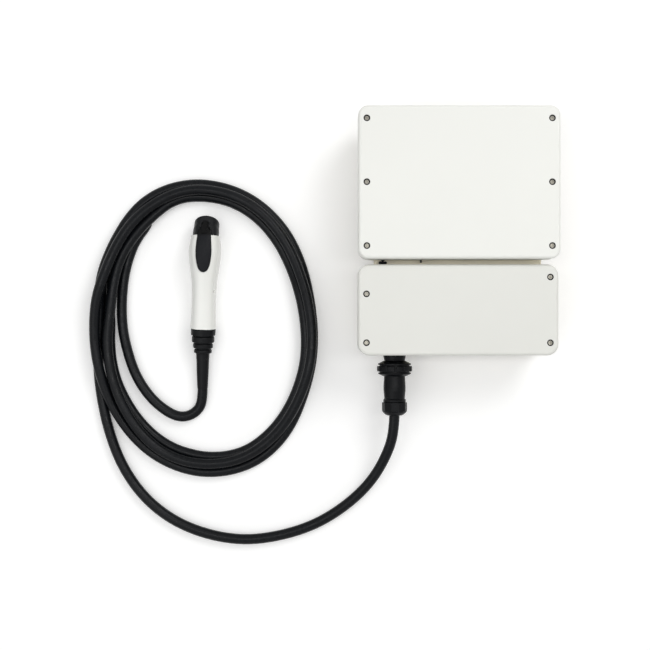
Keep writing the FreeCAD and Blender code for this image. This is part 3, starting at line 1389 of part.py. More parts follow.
def latch():
    """The thumb lever on top, its pin, and the leaf spring and small switch under its tail."""
    top, thick = value("lever_proud"), value("lever_thick")
    end = value("lever_end")
    skin = handle_form(top).common(lever_column(0, 50))
    skin = skin.cut(Part.makeBox(120, 80, 160, Vector(-60, end, -20)))
    skin = skin.cut(handle_form(top - thick))
    pin_y, pin_z = value("latch_pin_y"), value("latch_pin_lift")
    boss, wide, pin_long = value("latch_boss"), value("latch_boss_wide"), value("latch_pin_long")
    hub = cylinder_across(-wide / 2, pin_y, pin_z, boss, wide)
    web = Part.makeBox(wide, 2 * boss, 12, Vector(-wide / 2, pin_y - boss, pin_z))
    web = web.common(handle_form(top - 1))
    low, arm = value("arm_rise"), value("arm_wide")
    reach = value("fairing_front + fairing_wall") + 2
    bar = Part.makeBox(arm, 50 - reach, value("arm_thick"), Vector(-arm / 2, -50, low))
    hook = Part.makeBox(arm, 4, 3, Vector(-arm / 2, -reach - 4, low - 1.4))
    nib = Part.makeBox(5, 4, 8, Vector(-2.5, 138, value("tray_lift") + 6.5)).common(handle_form(top - 1))
    lever = skin.fuse([hub, web, nib, in_nose(bar), in_nose(hook)])
    for k in range(4):
        y = value("groove_start") + value("groove_pitch") * k
        z = 68.9 + 0.58 * k + top
        lever = lever.cut(cylinder_across(-8, y, z, value("groove_radius"), 16))
    lever = lever.cut(cylinder_across(-wide, pin_y, pin_z, value("latch_pin_radius + pin_fit"), 2 * wide))
    formed("latch_lever", lever)
    formed("latch_pin", cylinder_across(-pin_long / 2, pin_y, pin_z, value("latch_pin_radius"), pin_long))
    floor = value("tray_lift")
    leaf = [(117.5, 0.02), (132, 0.02), (132, 0.8), (119, 0.8), (128.4, 9.2), (127.6, 9.6), (117.5, 0.9)]
    points = [Vector(-4, y, floor + z) for y, z in leaf]
    formed("latch_spring", Part.Face(Part.makePolygon(points + points[:1])).extrude(Vector(8, 0, 0)))
    case = Part.makeBox(12, 12, 4, Vector(-6, 135, floor))
    formed("latch_switch", case.fuse(Part.makeCylinder(1.2, 0.8, Vector(0, 140, floor + 4))))


def rib(low, high, size, foot, head):
    """The outline of a round-shouldered rib, from the valley under it to the valley above it."""
    shoulder = f"{size} - rib_round"
    return [(foot, low), (shoulder, low), (size, f"{low} + rib_round", "rib_round"),
            (size, f"{high} - rib_round"), (shoulder, high, "rib_round"), (head, high)]


def strain_boot():
    """The ribbed rubber boot on the cable, with a flange held inside the shells."""
    body = coupler_body("strain_boot", BOOT)
    bore = "cable_radius + cable_fit"
    turned(body, [(bore, "14"), (bore, "-1 * boot_long"), ("boot_sleeve", "-1 * boot_long"),
                  *rib("-48.6", "-41", "rib_third", "boot_sleeve + 0.6", "rib_valley - 2 * rib_step"),
                  *rib("-39", "-29.6", "rib_second", "rib_valley - 2 * rib_step", "rib_valley - rib_step"),
                  *rib("-27.6", "-15.4", "rib_first", "rib_valley - rib_step", "rib_valley"),
                  ("rib_valley", "-13.4"), ("boot_collar - 0.9", "-13.2"), ("boot_collar", "0"),
                  ("boot_spigot", "0"), ("boot_spigot", "shell_wall + shell_gap"),
                  ("boot_flange", "shell_wall + shell_gap"), ("boot_flange", "shell_wall + 3"),
                  ("boot_spigot - 3", "shell_wall + 3"), ("boot_spigot - 3", "14")])
    clamp = coupler_body("cable_clamp", BOOT)
    block = Drawing(clamp, "XZ_Plane", "-14.3 - clamp_thick").slab("0", "0", "35", "26", "9")
    pad(clamp, block, "clamp_thick")
    drill(clamp, [("0", "0")], bore, "-14.3 - clamp_thick", "clamp_thick", "XZ_Plane", Reversed=True)
    drill(clamp, [("-14", "0"), ("14", "0")], "1.6", "-14.3 - clamp_thick", "clamp_thick", "XZ_Plane",
          Reversed=True)


def build_coupler():
    """The hand-held coupler at the end of the cable."""
    nose_shell()
    nose_contacts()
    handle_shells()
    handle_screws()
    latch()
    strain_boot()


def build_unit():
    """Everything that hangs on the wall."""
    upper_chassis()
    cover("upper_cover", UPPER_Y, "upper_high", "upper_front", "upper_seam", "upper_corner", UPPER_SCREWS)
    gasket("upper_gasket", UPPER_Y, "upper_high", UPPER_RIM)
    cover_screws("upper_cover_screws", UPPER_SCREWS, "upper_front")
    lower_chassis()
    cover("lower_cover", LOWER_Y, "lower_high", "lower_front", "lower_seam", "lower_corner", LOWER_SCREWS)
    gasket("lower_gasket", LOWER_Y, "lower_high", LOWER_RIM)
    cover_screws("lower_cover_screws", LOWER_SCREWS, "lower_front")
    link_duct()
    wall_bracket()
    across_pins("hanger_pins", PIN_Y, "pin_radius", "pin_head", "4", ("pin_head - 1", "2"))
    across_pins("bracket_lock_screws", LOCK_Y, "lock_radius", "lock_radius * 2", "3.5",
                ("lock_radius - 0.2", "5"))
    switch_bezel()
    mode_switch()
    status_light()


def build_inside():
    """What the two boxes hold."""
    power_board()
    power_modules()
    filter_inductors()
    bus_capacitors()
    output_relays()
    transformer()
    control_board()
    din_rail()
    rail_blocks("dc_terminals", "-1 * rail_long / 2 + 20", "dc_terminals")
    rail_blocks("ac_terminals", "20", "ac_terminals")
    ground_bar()
    charging_board()
    contactor()
    current_sensor()
    conduit_plugs()


def build_outlet():
    """The socket under the lower box and the plug in it."""
    outlet_flange()
    outlet_lock_nut()
    outlet_contacts()
    coupling_ring()
    plug_body()
    plug_insert()
    plug_seal()
    gland_nut()
    gland_seal()


# Cable: a lead from the outlet's gland, a flat oval coil, and a tail to the coupler's boot

# Route of the lead from the plug into the coil
LEAD_ROUTE = [(-113, -316.85, 70), (-113, -362.15, 70), (-127.5, -411.75, 53), (-156.6, -464.45, 34),
              (-202.9, -511.65, 17), (-263.7, -550.95, 10.4), (-334.3, -573.55, 10.4), (-407, -582.35, 10.4),
              (-481.6, -569.65, 10.4), (-548.3, -541.15, 10.4), (-603.3, -496.05, 10.4), (-644.5, -436.15, 10.4),
              (-670, -369.35, 10.4), (-684.7, -302.65, 10.4), (-692.6, -237.85, 10.4), (-694.5, -188.75, 10.4)]

# Route of the tail from the coupler's clamp into the coil
TAIL_ROUTE = [(-482.4, -142.45, 29.4), (-485.9, -249.95, 16.1), (-486, -310.65, 11), (-498.5, -330.25, 10.5),
              (-519.7, -340.15, 10.4), (-542.8, -337.05, 10.4), (-573, -317.15, 10.4), (-598, -290.15, 10.4),
              (-619, -255.15, 10.4), (-633, -214.15, 10.4), (-643.5, -168.15, 10.4), (-645.5, -117.15, 10.4),
              (-641.5, -72.15, 10.4)]

# The coil's outer and inner ovals: middle and half sizes
COIL_OUTER = (-484.1, -166.25, 222.4, 289.5)
COIL_INNER = (-477.2, -162.65, 183.3, 245.8)


def rounded_path(route):
    """Straight runs joined by tangent arcs, each as wide as its two runs allow."""
    points = [Vector(*p) for p in route]
    edges, radii = [], []
    here = points[0]
    for before, corner, after in zip(points, points[1:], points[2:]):
        back, on = (before - corner), (after - corner)
        reach = 0.45 * min(back.Length, on.Length)
        half_turn = (math.pi - back.getAngle(on)) / 2
        radii.append(reach / math.tan(half_turn))
        start = corner + back.normalize() * reach
        end = corner + on.normalize() * reach
        middle = corner + (back + on).normalize() * (radii[-1] / math.cos(half_turn) - radii[-1])
        edges.append(Part.makeLine(here, start))
        edges.append(Part.Arc(start, middle, end).toShape())
        here = end
    edges.append(Part.makeLine(here, points[-1]))
    return Part.Wire(edges), radii


def tube(name, route):
    """A round cable along a route, with its bends and its volume told."""
    path, radii = rounded_path(route)
    radius = value("cable_radius")
    first = path.Edges[0]
    end = Part.Wire([Part.Circle(first.valueAt(first.FirstParameter), first.tangentAt(first.FirstParameter),
                                 radius).toShape()])
    shape = path.makePipeShell([end], True, True)
    share = shape.Volume / (math.pi * radius ** 2 * path.Length)
    print(f"{name}: {path.Length:.0f} mm, volume {share:.4f} of section times length")
    print("  bend radii", [round(r) for r in radii])
    return loose(name, shape)


def loose(name, shape):
    """A piece that lies on the surface as drawn."""
    item = DOC.addObject("Part::Feature", name)
    item.Label = name
    item.Shape = shape
    PIECES.append(item)
    return item


def oval_face(x, y, wide, high, lift):
    """A flat oval, longer along Y."""
    major, minor = Vector(x, y + high, lift), Vector(x + wide, y, lift)
    return Part.Face(Part.Wire([Part.Ellipse(major, minor, Vector(x, y, lift)).toShape()]))


def build_cable():
    """The two free stretches and the coil between them."""
    tube("cable_lead", LEAD_ROUTE)
    tube("cable_tail", TAIL_ROUTE)
    lift, radius = 0.4, value("cable_radius")
    high = 2.2 * 2 * radius
    ring = oval_face(*COIL_OUTER, lift).cut(oval_face(*COIL_INNER, lift)).extrude(Vector(0, 0, high))
    ovals = [edge for edge in ring.Edges if isinstance(edge.Curve, Part.Ellipse)]
    loose("cable_coil", ring.makeFillet(0.9 * radius, ovals))


def write_pieces():
    """Stops at any failed object or bad shape, and otherwise writes each piece."""
    DOC.recompute()
    for item in DOC.Objects:
        if any(word in item.State for word in ("Invalid", "Error")):
            raise RuntimeError(f"{item.Name}: {item.State}")
    os.makedirs("parts", exist_ok=True)
    for piece in PIECES:
        shape = piece.Shape
        if shape.isNull() or not shape.isValid() or not shape.Solids:
            raise RuntimeError(f"{piece.Label}: its shape is empty or not valid")
        shape.exportStep(f"parts/{piece.Label}.step")


fill_sheet()
build_unit()
build_inside()
build_outlet()
build_coupler()
build_cable()
write_pieces()
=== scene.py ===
"""The wall unit, its coiled cable and the coupler, laid on a pale floor and seen from straight above.

Everything is in metres in the part's own frame: X across the unit, Y up the wall, Z out of the covers.
Tables whose comment says so are in millimetres, and MM carries them over.
"""

import math

import bpy
import numpy as np
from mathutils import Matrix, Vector


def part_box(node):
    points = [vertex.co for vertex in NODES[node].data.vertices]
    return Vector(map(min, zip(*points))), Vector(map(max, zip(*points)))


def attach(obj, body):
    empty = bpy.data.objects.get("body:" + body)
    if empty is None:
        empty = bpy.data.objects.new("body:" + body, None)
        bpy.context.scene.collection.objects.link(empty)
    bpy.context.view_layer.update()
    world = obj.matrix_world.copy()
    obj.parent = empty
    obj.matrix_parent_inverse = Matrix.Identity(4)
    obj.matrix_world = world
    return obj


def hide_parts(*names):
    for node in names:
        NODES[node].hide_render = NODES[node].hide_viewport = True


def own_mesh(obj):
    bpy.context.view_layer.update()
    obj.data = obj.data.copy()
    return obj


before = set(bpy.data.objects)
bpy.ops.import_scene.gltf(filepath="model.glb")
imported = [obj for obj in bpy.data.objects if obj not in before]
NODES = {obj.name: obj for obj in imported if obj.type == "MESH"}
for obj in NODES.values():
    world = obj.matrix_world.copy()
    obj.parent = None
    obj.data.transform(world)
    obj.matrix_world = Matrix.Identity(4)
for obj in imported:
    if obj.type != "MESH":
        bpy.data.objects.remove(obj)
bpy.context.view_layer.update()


MM = 0.001


def shown(name, data):
    """A new object in the scene, at the origin and unturned."""
    item = bpy.data.objects.new(name, data)
    bpy.context.scene.collection.objects.link(item)
    return item


# Where the camera stands, over the middle of the picture
EYE = (-0.246, -0.15935, 2.360)
LENS = 66.30
FILM_WIDE = 36.0
FARTHEST_SEEN = 20.0


def overhead_camera():
    """A camera over the middle of the picture, unturned, which looks down along Z."""
    eye = bpy.data.cameras.new("eye")
    eye.lens = LENS
    eye.sensor_width = FILM_WIDE
    eye.clip_end = FARTHEST_SEEN
    camera = shown("eye", eye)
    camera.location = EYE
    bpy.context.scene.camera = camera


overhead_camera()


def deepened(colour, share):
    """A colour darkened to a share of itself, or lightened where the share is over one."""
    return tuple(part * share for part in colour)


class Paint:
    """A material made of nodes, with all its patterns read from Object coordinates."""

    def __init__(self, name, colour, rough, **sockets):
        self.material = bpy.data.materials.new(name)
        self.material.use_nodes = True
        self.tree = self.material.node_tree
        self.shader = self.tree.nodes["Principled BSDF"]
        self.shader.inputs["Base Color"].default_value = (*colour, 1)
        self.shader.inputs["Roughness"].default_value = rough
        for key, number in sockets.items():
            self.shader.inputs[key.replace("_", " ")].default_value = number
        self.colour = colour
        self.place = self.tree.nodes.new("ShaderNodeTexCoord").outputs["Object"]
        self.normal = None

    def node(self, kind, **settings):
        """A node with its inputs and settings given by name."""
        made = self.tree.nodes.new("ShaderNode" + kind)
        for key, number in settings.items():
            if key in made.inputs:
                made.inputs[key].default_value = number
            else:
                setattr(made, key, number)
        return made

    def link(self, source, socket):
        """Leads an output into an input."""
        self.tree.links.new(source, socket)

    def noise(self, scale, detail=3.0, stretch=None):
        """Cloudy noise, stretched along an axis where asked."""
        made = self.node("TexNoise", Scale=scale, Detail=detail)
        where = self.place
        if stretch is not None:
            mapping = self.node("Mapping", Scale=stretch)
            self.link(where, mapping.inputs["Vector"])
            where = mapping.outputs["Vector"]
        self.link(where, made.inputs["Vector"])
        return made.outputs["Fac"]

    def cells(self, scale):
        """Distance to scattered points, for a spark grain."""
        made = self.node("TexVoronoi", Scale=scale, feature="F1")
        self.link(self.place, made.inputs["Vector"])
        return made.outputs["Distance"]

    def along_y(self):
        """How far up the unit a place is, in metres."""
        made = self.node("SeparateXYZ")
        self.link(self.place, made.inputs["Vector"])
        return made.outputs["Y"]

    def how_far(self):
        """How far a place is from the frame's origin, in metres."""
        made = self.node("VectorMath", operation="LENGTH")
        self.link(self.place, made.inputs[0])
        return made.outputs["Value"]

    def spread(self, pattern, low, high, start=0.3, end=0.7):
        """A pattern's values between start and end, carried over to low and high."""
        made = self.node("MapRange")
        for name, number in zip(("From Min", "From Max", "To Min", "To Max"), (start, end, low, high)):
            made.inputs[name].default_value = number
        self.link(pattern, made.inputs["Value"])
        return made.outputs["Result"]

    def tint(self, pattern, other, amount=1.0, start=0.3, end=0.7):
        """Leads the base colour from its own colour towards another where the pattern is high."""
        mix = self.node("Mix", data_type="RGBA")
        ends = [socket for socket in mix.inputs if socket.type == "RGBA"]
        for socket, colour in zip(ends, (self.colour, other)):
            socket.default_value = (*colour, 1)
        self.link(self.spread(pattern, 0.0, amount, start, end), mix.inputs["Factor"])
        mixed = next(socket for socket in mix.outputs if socket.type == "RGBA")
        self.link(mixed, self.shader.inputs["Base Color"])

    def wear(self, pattern, low, high):
        """Lets the roughness follow a pattern."""
        self.link(self.spread(pattern, low, high), self.shader.inputs["Roughness"])

    def relief(self, pattern, strength, depth):
        """A fine bump from a pattern, on top of any earlier one."""
        bump = self.node("Bump", Strength=strength, Distance=depth)
        self.link(pattern, bump.inputs["Height"])
        if self.normal is not None:
            self.link(self.normal, bump.inputs["Normal"])
        self.normal = bump.outputs["Normal"]
        self.link(self.normal, self.shader.inputs["Normal"])


def moulded_white(name, colour, rough, grain):
    """Moulded plastic or a coated lid: faint clouding and an orange-peel grain."""
    paint = Paint(name, colour, rough)
    paint.tint(paint.noise(scale=6.0), deepened(colour, 0.985))
    paint.wear(paint.noise(scale=40.0), low=rough - 0.04, high=rough + 0.05)
    paint.relief(paint.noise(scale=900.0, detail=2.0), strength=grain, depth=0.0002)
    return paint.material


def black_moulding(name, colour=(0.003, 0.0033, 0.004), rough=0.32, grain=0.15):
    """Black glass-filled plastic: slightly mottled, with a fine spark grain."""
    paint = Paint(name, colour, rough, Specular_IOR_Level=0.10)
    paint.tint(paint.noise(scale=120.0), deepened(colour, 1.5))
    paint.wear(paint.noise(scale=260.0), low=rough - 0.07, high=rough + 0.10)
    paint.relief(paint.cells(scale=1500.0), strength=grain, depth=0.0002)
    return paint.material


def cast_metal(name, colour, rough=0.5):
    """Powder-coated casting: coarse peel and slight cloud."""
    paint = Paint(name, colour, rough, Metallic=0.15)
    paint.tint(paint.noise(scale=14.0), deepened(colour, 0.88))
    paint.relief(paint.noise(scale=420.0), strength=0.35, depth=0.0003)
    return paint.material


def bare_metal(name, colour, rough=0.3, brushed=(1, 1, 1)):
    """Plated or brushed metal, with fine lines along the axis that is stretched least."""
    paint = Paint(name, colour, rough, Metallic=1.0)
    paint.tint(paint.noise(scale=60.0), deepened(colour, 0.8))
    paint.wear(paint.noise(scale=300.0, detail=4.0, stretch=brushed), low=rough - 0.08, high=rough + 0.14)
    paint.relief(paint.noise(scale=600.0, detail=2.0, stretch=brushed), strength=0.15, depth=0.0001)
    return paint.material


def solder_mask(name, colour=(0.015, 0.10, 0.04)):
    """Green solder mask with the weave of the laminate just showing."""
    paint = Paint(name, colour, rough=0.35)
    paint.tint(paint.cells(scale=420.0), deepened(colour, 1.7), amount=0.6)
    paint.relief(paint.noise(scale=700.0), strength=0.12, depth=0.0002)
    return paint.material


def lever_grip(name):
    """The lever's soft black grip, with painted shade that darkens it where its arm runs into the head."""
    paint = Paint(name, (0.0085, 0.009, 0.011), rough=0.46, Specular_IOR_Level=0.11)
    # Painted shade: the grip turns near-black towards the head, where its arm runs in under the nose.
    paint.tint(paint.along_y(), (0.001, 0.001, 0.0012), start=0.010, end=0.016)
    paint.wear(paint.noise(scale=260.0), low=0.40, high=0.56)
    paint.relief(paint.cells(scale=1500.0), strength=0.3, depth=0.0002)
    return paint.material


def rubber(name, colour=(0.006, 0.0065, 0.0075), rough=0.5, grain=0.3):
    """Cable rubber: matt, faintly dusty, with a soft extruded grain."""
    paint = Paint(name, colour, rough, Specular_IOR_Level=0.13)
    paint.tint(paint.noise(scale=30.0), deepened(colour, 1.45))
    paint.wear(paint.noise(scale=90.0), low=rough - 0.08, high=rough + 0.12)
    paint.relief(paint.noise(scale=1100.0, detail=2.0), strength=grain, depth=0.00025)
    return paint.material


def clear_pipe(name):
    """The light pipe's dark, clear plastic."""
    paint = Paint(name, (0.10, 0.10, 0.08), rough=0.2, IOR=1.49)
    paint.relief(paint.noise(scale=200.0), strength=0.05, depth=0.0001)
    return paint.material


BLACK_PLASTIC = black_moulding("black_plastic")
SEAL_RUBBER = rubber("seal_rubber")
CABLE_RUBBER = rubber("cable_rubber", (0.0034, 0.004, 0.005), rough=0.28, grain=0.12)
BOOT_RUBBER = rubber("boot_rubber", (0.003, 0.0033, 0.004), rough=0.38, grain=0.15)
ZINC_PLATE = bare_metal("zinc_plate", (0.55, 0.55, 0.54), rough=0.34)
LIGHT_PIPE = clear_pipe("light_pipe")

# Every finish with the nodes that it goes on, where black plastic goes on the rest
FINISHED = [
    (moulded_white("lid_white", (0.838, 0.843, 0.80), rough=0.42, grain=0.10), ["upper_cover"]),
    (moulded_white("lid_pale_grey", (0.752, 0.754, 0.71), rough=0.45, grain=0.12), ["lower_cover"]),
    (cast_metal("casting_stone", (0.66, 0.62, 0.49)), ["upper_chassis", "lower_chassis"]),
    # Painted light: the link duct is the chassis's casting, lightened to offset the shade in the gap between
    # the boxes.
    (cast_metal("casting_stone_painted_light", (0.96, 0.90, 0.73), rough=0.6), ["link_duct"]),
    (bare_metal("screw_steel", (0.23, 0.22, 0.19), rough=0.34), ["upper_cover_screws", "lower_cover_screws"]),
    (moulded_white("handle_gloss", (0.882, 0.887, 0.85), rough=0.22, grain=0.03),
     ["handle_shell_left", "handle_shell_right"]),
    (lever_grip("lever_black"), ["latch_lever"]),
    (black_moulding("nose_black", (0.0145, 0.015, 0.0162), rough=0.34), ["nose_shell", "contact_insert"]),
    (BOOT_RUBBER, ["strain_boot"]),
    (CABLE_RUBBER, ["cable_lead", "cable_coil", "cable_tail"]),
    (SEAL_RUBBER, ["upper_gasket", "lower_gasket", "link_gaskets", "plug_seal", "gland_seal", "nose_seal"]),
    (LIGHT_PIPE, ["status_light"]),
    (bare_metal("brushed_steel", (0.60, 0.60, 0.60), rough=0.28, brushed=(1, 12, 12)), ["wall_bracket"]),
    (ZINC_PLATE, ["hanger_pins", "bracket_lock_screws", "board_standoffs", "din_rail", "latch_pin",
                  "latch_spring", "handle_screws", "bus_capacitors"]),
    (bare_metal("contact_brass", (0.62, 0.44, 0.18), rough=0.25),
     ["contact_pins", "contact_sleeves", "ground_bar"]),
    (bare_metal("winding_copper", (0.50, 0.21, 0.09), rough=0.38, brushed=(1, 1, 30)),
     ["filter_inductors", "transformer"]),
    (solder_mask("board_green"), ["power_board", "control_board", "charging_board"]),
    (moulded_white("terminal_grey", (0.26, 0.27, 0.27), rough=0.45, grain=0.2),
     ["dc_terminals", "ac_terminals"]),
]


def finish_the_nodes():
    """Gives every CAD node its finish."""
    finish = {name: material for material, names in FINISHED for name in names}
    for name, node in NODES.items():
        node.data.materials.clear()
        node.data.materials.append(finish.get(name, BLACK_PLASTIC))


finish_the_nodes()

CABLE_RADIUS = 0.010

# Where the lead runs from the plug to the coil, along the photograph
LEAD_ROUTE = [
    (-0.113, -0.31685, 0.070), (-0.113, -0.36215, 0.070), (-0.1275, -0.41175, 0.053),
    (-0.1566, -0.46445, 0.034), (-0.2029, -0.51165, 0.017), (-0.2637, -0.55095, 0.0104),
    (-0.3343, -0.57355, 0.0104), (-0.4070, -0.58235, 0.0104), (-0.4816, -0.56965, 0.0104),
    (-0.5483, -0.54115, 0.0104), (-0.6033, -0.49605, 0.0104), (-0.6445, -0.43615, 0.0104),
    (-0.6700, -0.36935, 0.0104), (-0.6847, -0.30265, 0.0104), (-0.6922, -0.23785, 0.0104)]

# Where the tail runs from the clamp inside the handle to the coil
TAIL_ROUTE = [
    (-0.4824, -0.14245, 0.0294), (-0.4859, -0.24995, 0.0161), (-0.4860, -0.31065, 0.0110),
    (-0.4985, -0.33025, 0.0105), (-0.5197, -0.34015, 0.0104), (-0.5428, -0.33705, 0.0104),
    (-0.5730, -0.31715, 0.0104), (-0.5980, -0.29015, 0.0104), (-0.6190, -0.25515, 0.0104),
    (-0.6330, -0.21415, 0.0104), (-0.6435, -0.16815, 0.0104), (-0.6455, -0.11715, 0.0104),
    (-0.6415, -0.07215, 0.0104)]

# The oval that the coil follows: the middle's X and Y, half its width and half its height
OVAL = (-0.4747, -0.1652, 0.2033, 0.2717)

# How the strands lie about the oval, along the photograph: the turn in degrees, clockwise from the
# right, the distance outwards and the height of the strand's middle, both in millimetres
STRANDS = [
    (176, 8.5, 10.8), (180, 7.0, 12), (187, 9.0, 19), (193, 13.7, 26.5), (198, 16.4, 30),
    (205, 17.3, 30.5), (212, 17.0, 30.5), (220, 17.9, 30.5), (228, 20.0, 30.5), (235, 21.2, 30),
    (243, 20.7, 25), (252, 16.7, 17), (262, 12.9, 11), (270, 8.0, 10.4), (280, 5.0, 10.4),
    (288, 3.8, 10.4), (300, 3.2, 10.4), (320, 2.6, 10.4), (328, 1.2, 10.4), (336, 0.0, 10.4),
    (344, -1.2, 10.4), (352, -1.0, 10.4), (360, 1.2, 10.4), (368, 3.4, 10.4), (376, 5.0, 10.4),
    (384, 5.8, 10.4), (392, 7.8, 10.4), (400, 11.8, 10.4), (408, 14.4, 10.4), (418, 15.6, 10.4),
    (426, 15.4, 10.4), (434, 13.4, 10.4), (442, 11.4, 10.4), (456, 10.5, 10.4), (466, 10.4, 10.4),
    (474, 11.6, 10.4), (484, 13.6, 10.4), (495, 14.8, 12), (507, 15.8, 18), (521, 16.2, 28),
    (530, 16.6, 30.5), (540, 16.8, 30.2), (547, 15.4, 38.5), (553, 13.7, 47), (560, 10.2, 47.2),
    (565, 8.2, 46.8), (585, 7.8, 46.5), (592, 6.3, 44.5), (600, 4.5, 40.6), (610, 2.7, 35.4),
    (622, 0.4, 28.6), (630, -4.1, 27.9), (645, -6.5, 27.8), (660, -7.0, 27.8), (690, -8.0, 27.8),
    (696, -7.9, 30.5), (704, -6.0, 34), (712, -3.5, 37), (720, -1.2, 39), (728, 1.5, 41), (736, 2.5, 42),
    (744, 2.0, 41), (752, 1.5, 37.5), (760, 1.2, 31.5), (768, 0.5, 27.6), (783, -2.0, 25.8),
    (810, -7.8, 25.0), (840, -3.1, 25.4), (855, -3.5, 28.4), (870, -4.3, 29.8), (881, -4.9, 30.4),
    (896, -7.5, 29.8), (904, -12.3, 30), (913, -12.3, 30.4), (922, -8.7, 30.6), (931, -6.6, 30.6),
    (940, -8.4, 30.6), (949, -10.4, 30.5), (958, -10.8, 29), (964, -8.7, 25.5), (968, -7.4, 21.5),
    (972, -7.5, 18), (976, -8.9, 15.5), (982, -12.3, 11.5), (990, -16.0, 10.4), (1000, -17.6, 10.4),
    (1012, -18.9, 10.4), (1030, -20.0, 10.4), (1048, -20.8, 10.4), (1056, -20.4, 13.5),
    (1064, -18.4, 19.5), (1072, -16.4, 22.5), (1080, -13.6, 23), (1088, -10.0, 25), (1096, -7.8, 25.5),
    (1104, -7.9, 24), (1112, -8.0, 20), (1120, -8.2, 13), (1127, -8.7, 10.4), (1150, -12.3, 10.4),
    (1160, -17.4, 10.4), (1180, -21.3, 10.4), (1200, -16.8, 10.4), (1230, -9.8, 10.4), (1241, -6.7, 10.4),
    (1250, -9.0, 10.4), (1260, -11.0, 10.4), (1265, -12.0, 10.4), (1269, -7.4, 10.4), (1273, -1.0, 10.4),
    (1277, 7.0, 10.4), (1281, 14.2, 10.4), (1285, 18.0, 10.4), (1292, 19.4, 10.4), (1301, 21.4, 10.4)]
FIRST_TURN = 184.0
LAST_TURN = 1302.0
TURN_STEP = 9.0

# How far the spline cuts inside its points, and the height of a strand that lies on the floor, in millimetres
CUT_INSIDE = 0.9
ON_FLOOR = 10.4

# The last strand's turn back on the floor under the others: its turns and its distances outwards
TURN_BACK = [
    (1304.8, 22.8), (1309.0, 23.4), (1311.2, 21.0), (1312.8, 14.5), (1313.4, 5.6), (1312.8, -3.3),
    (1311.2, -9.8), (1309.0, -12.2), (1304.5, -12.4), (1298.5, -13.8), (1292.5, -17.0), (1287.5, -19.9)]


def strand_points(turn, outward, height):
    """Points at turns round the oval: its edge moved out along its normal, at a height.

    edge = (x + half width * cos turn, y - half height * sin turn), and its normal runs along
    (half height * cos turn, - half width * sin turn).
    """
    x, y, half_wide, half_high = OVAL
    angle = np.radians(turn)
    normal = np.stack([half_high * np.cos(angle), -half_wide * np.sin(angle)], axis=-1)
    normal /= np.linalg.norm(normal, axis=-1, keepdims=True)
    edge = np.stack([x + half_wide * np.cos(angle), y - half_high * np.sin(angle)], axis=-1)
    flat = edge + normal * np.asarray(outward)[:, None] * MM
    return np.column_stack([flat, np.asarray(height) * MM])


def coil_points():
    """Control points at even steps round the turns, and then the turn back."""
    key_turn, key_out, key_height = np.array(STRANDS).T
    turn = np.arange(FIRST_TURN, LAST_TURN, TURN_STEP)
    outward = np.interp(turn, key_turn, key_out) + CUT_INSIDE
    around = strand_points(turn, outward, np.interp(turn, key_turn, key_height))
    back_turn, back_out = np.array(TURN_BACK).T
    back = strand_points(back_turn, back_out, np.full(len(back_turn), ON_FLOOR))
    return np.vstack([around, back])


def smooth_cord(name, points, radius):
    """One open smooth spline with a round section."""
    curve = bpy.data.curves.new(name, "CURVE")
    curve.dimensions = "3D"
    curve.bevel_depth = radius
    curve.bevel_resolution = 5
    curve.use_fill_caps = True
    spline = curve.splines.new("NURBS")
    spline.points.add(len(points) - 1)
    spline.points.foreach_set("co", np.column_stack([points, np.ones(len(points))]).ravel())
    spline.order_u = 3
    spline.use_endpoint_u = True
    spline.resolution_u = 6
    return shown(name, curve)


cable = smooth_cord("charging_cable", np.vstack([LEAD_ROUTE, coil_points(), TAIL_ROUTE[::-1]]), CABLE_RADIUS)
cable.data.materials.append(CABLE_RUBBER)
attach(cable, "unit")
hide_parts("cable_lead", "cable_coil", "cable_tail")


def centre_line(cord):
    """The cord's own line, point by point, read from its spline, with the way gone at each point."""
    bare = bpy.data.objects.new("bare", cord.data.copy())
    bare.data.bevel_depth = 0
    mesh = bpy.data.meshes.new_from_object(bare)
    line = np.empty(len(mesh.vertices) * 3)
    mesh.vertices.foreach_get("co", line)
    line = line.reshape(-1, 3)
    bpy.data.meshes.remove(mesh)
    bpy.data.curves.remove(bare.data)
    way = np.concatenate([[0], np.cumsum(np.linalg.norm(np.diff(line, axis=0), axis=1))])
    return line, way


def mesh_piece(name, points, faces, material, slot, body="unit", smooth=True, flat_ends=0):
    """A piece of points and faces that rides on a body, smooth but for its last faces where they are ends."""
    mesh = bpy.data.meshes.new(name)
    mesh.from_pydata(points.reshape(-1, 3).tolist(), [], faces)
    mesh.validate()
    mesh.materials.append(material)
    if smooth:
        rounded = [True] * (len(mesh.polygons) - flat_ends) + [False] * flat_ends
        mesh.polygons.foreach_set("use_smooth", rounded)
    piece = shown(name, mesh)
    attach(piece, body)
    return piece


def closed_skin(name, rings, material, slot, **settings):
    """A skin over rings of points, each of which closes on itself, with a flat face over each end.

    Face (i, j) joins points (i, j), (i, j + 1), (i + 1, j + 1) and (i + 1, j).
    """
    count, around = rings.shape[:2]
    i, j = np.meshgrid(np.arange(count - 1), np.arange(around), indexing="ij")
    after = (j + 1) % around
    quads = np.stack([i * around + j, i * around + after, (i + 1) * around + after, (i + 1) * around + j],
                     axis=-1)
    ends = [list(range(around))[::-1], list(range((count - 1) * around, count * around))]
    faces = quads.reshape(-1, 4).tolist() + ends
    return mesh_piece(name, rings, faces, material, slot, flat_ends=len(ends), **settings)


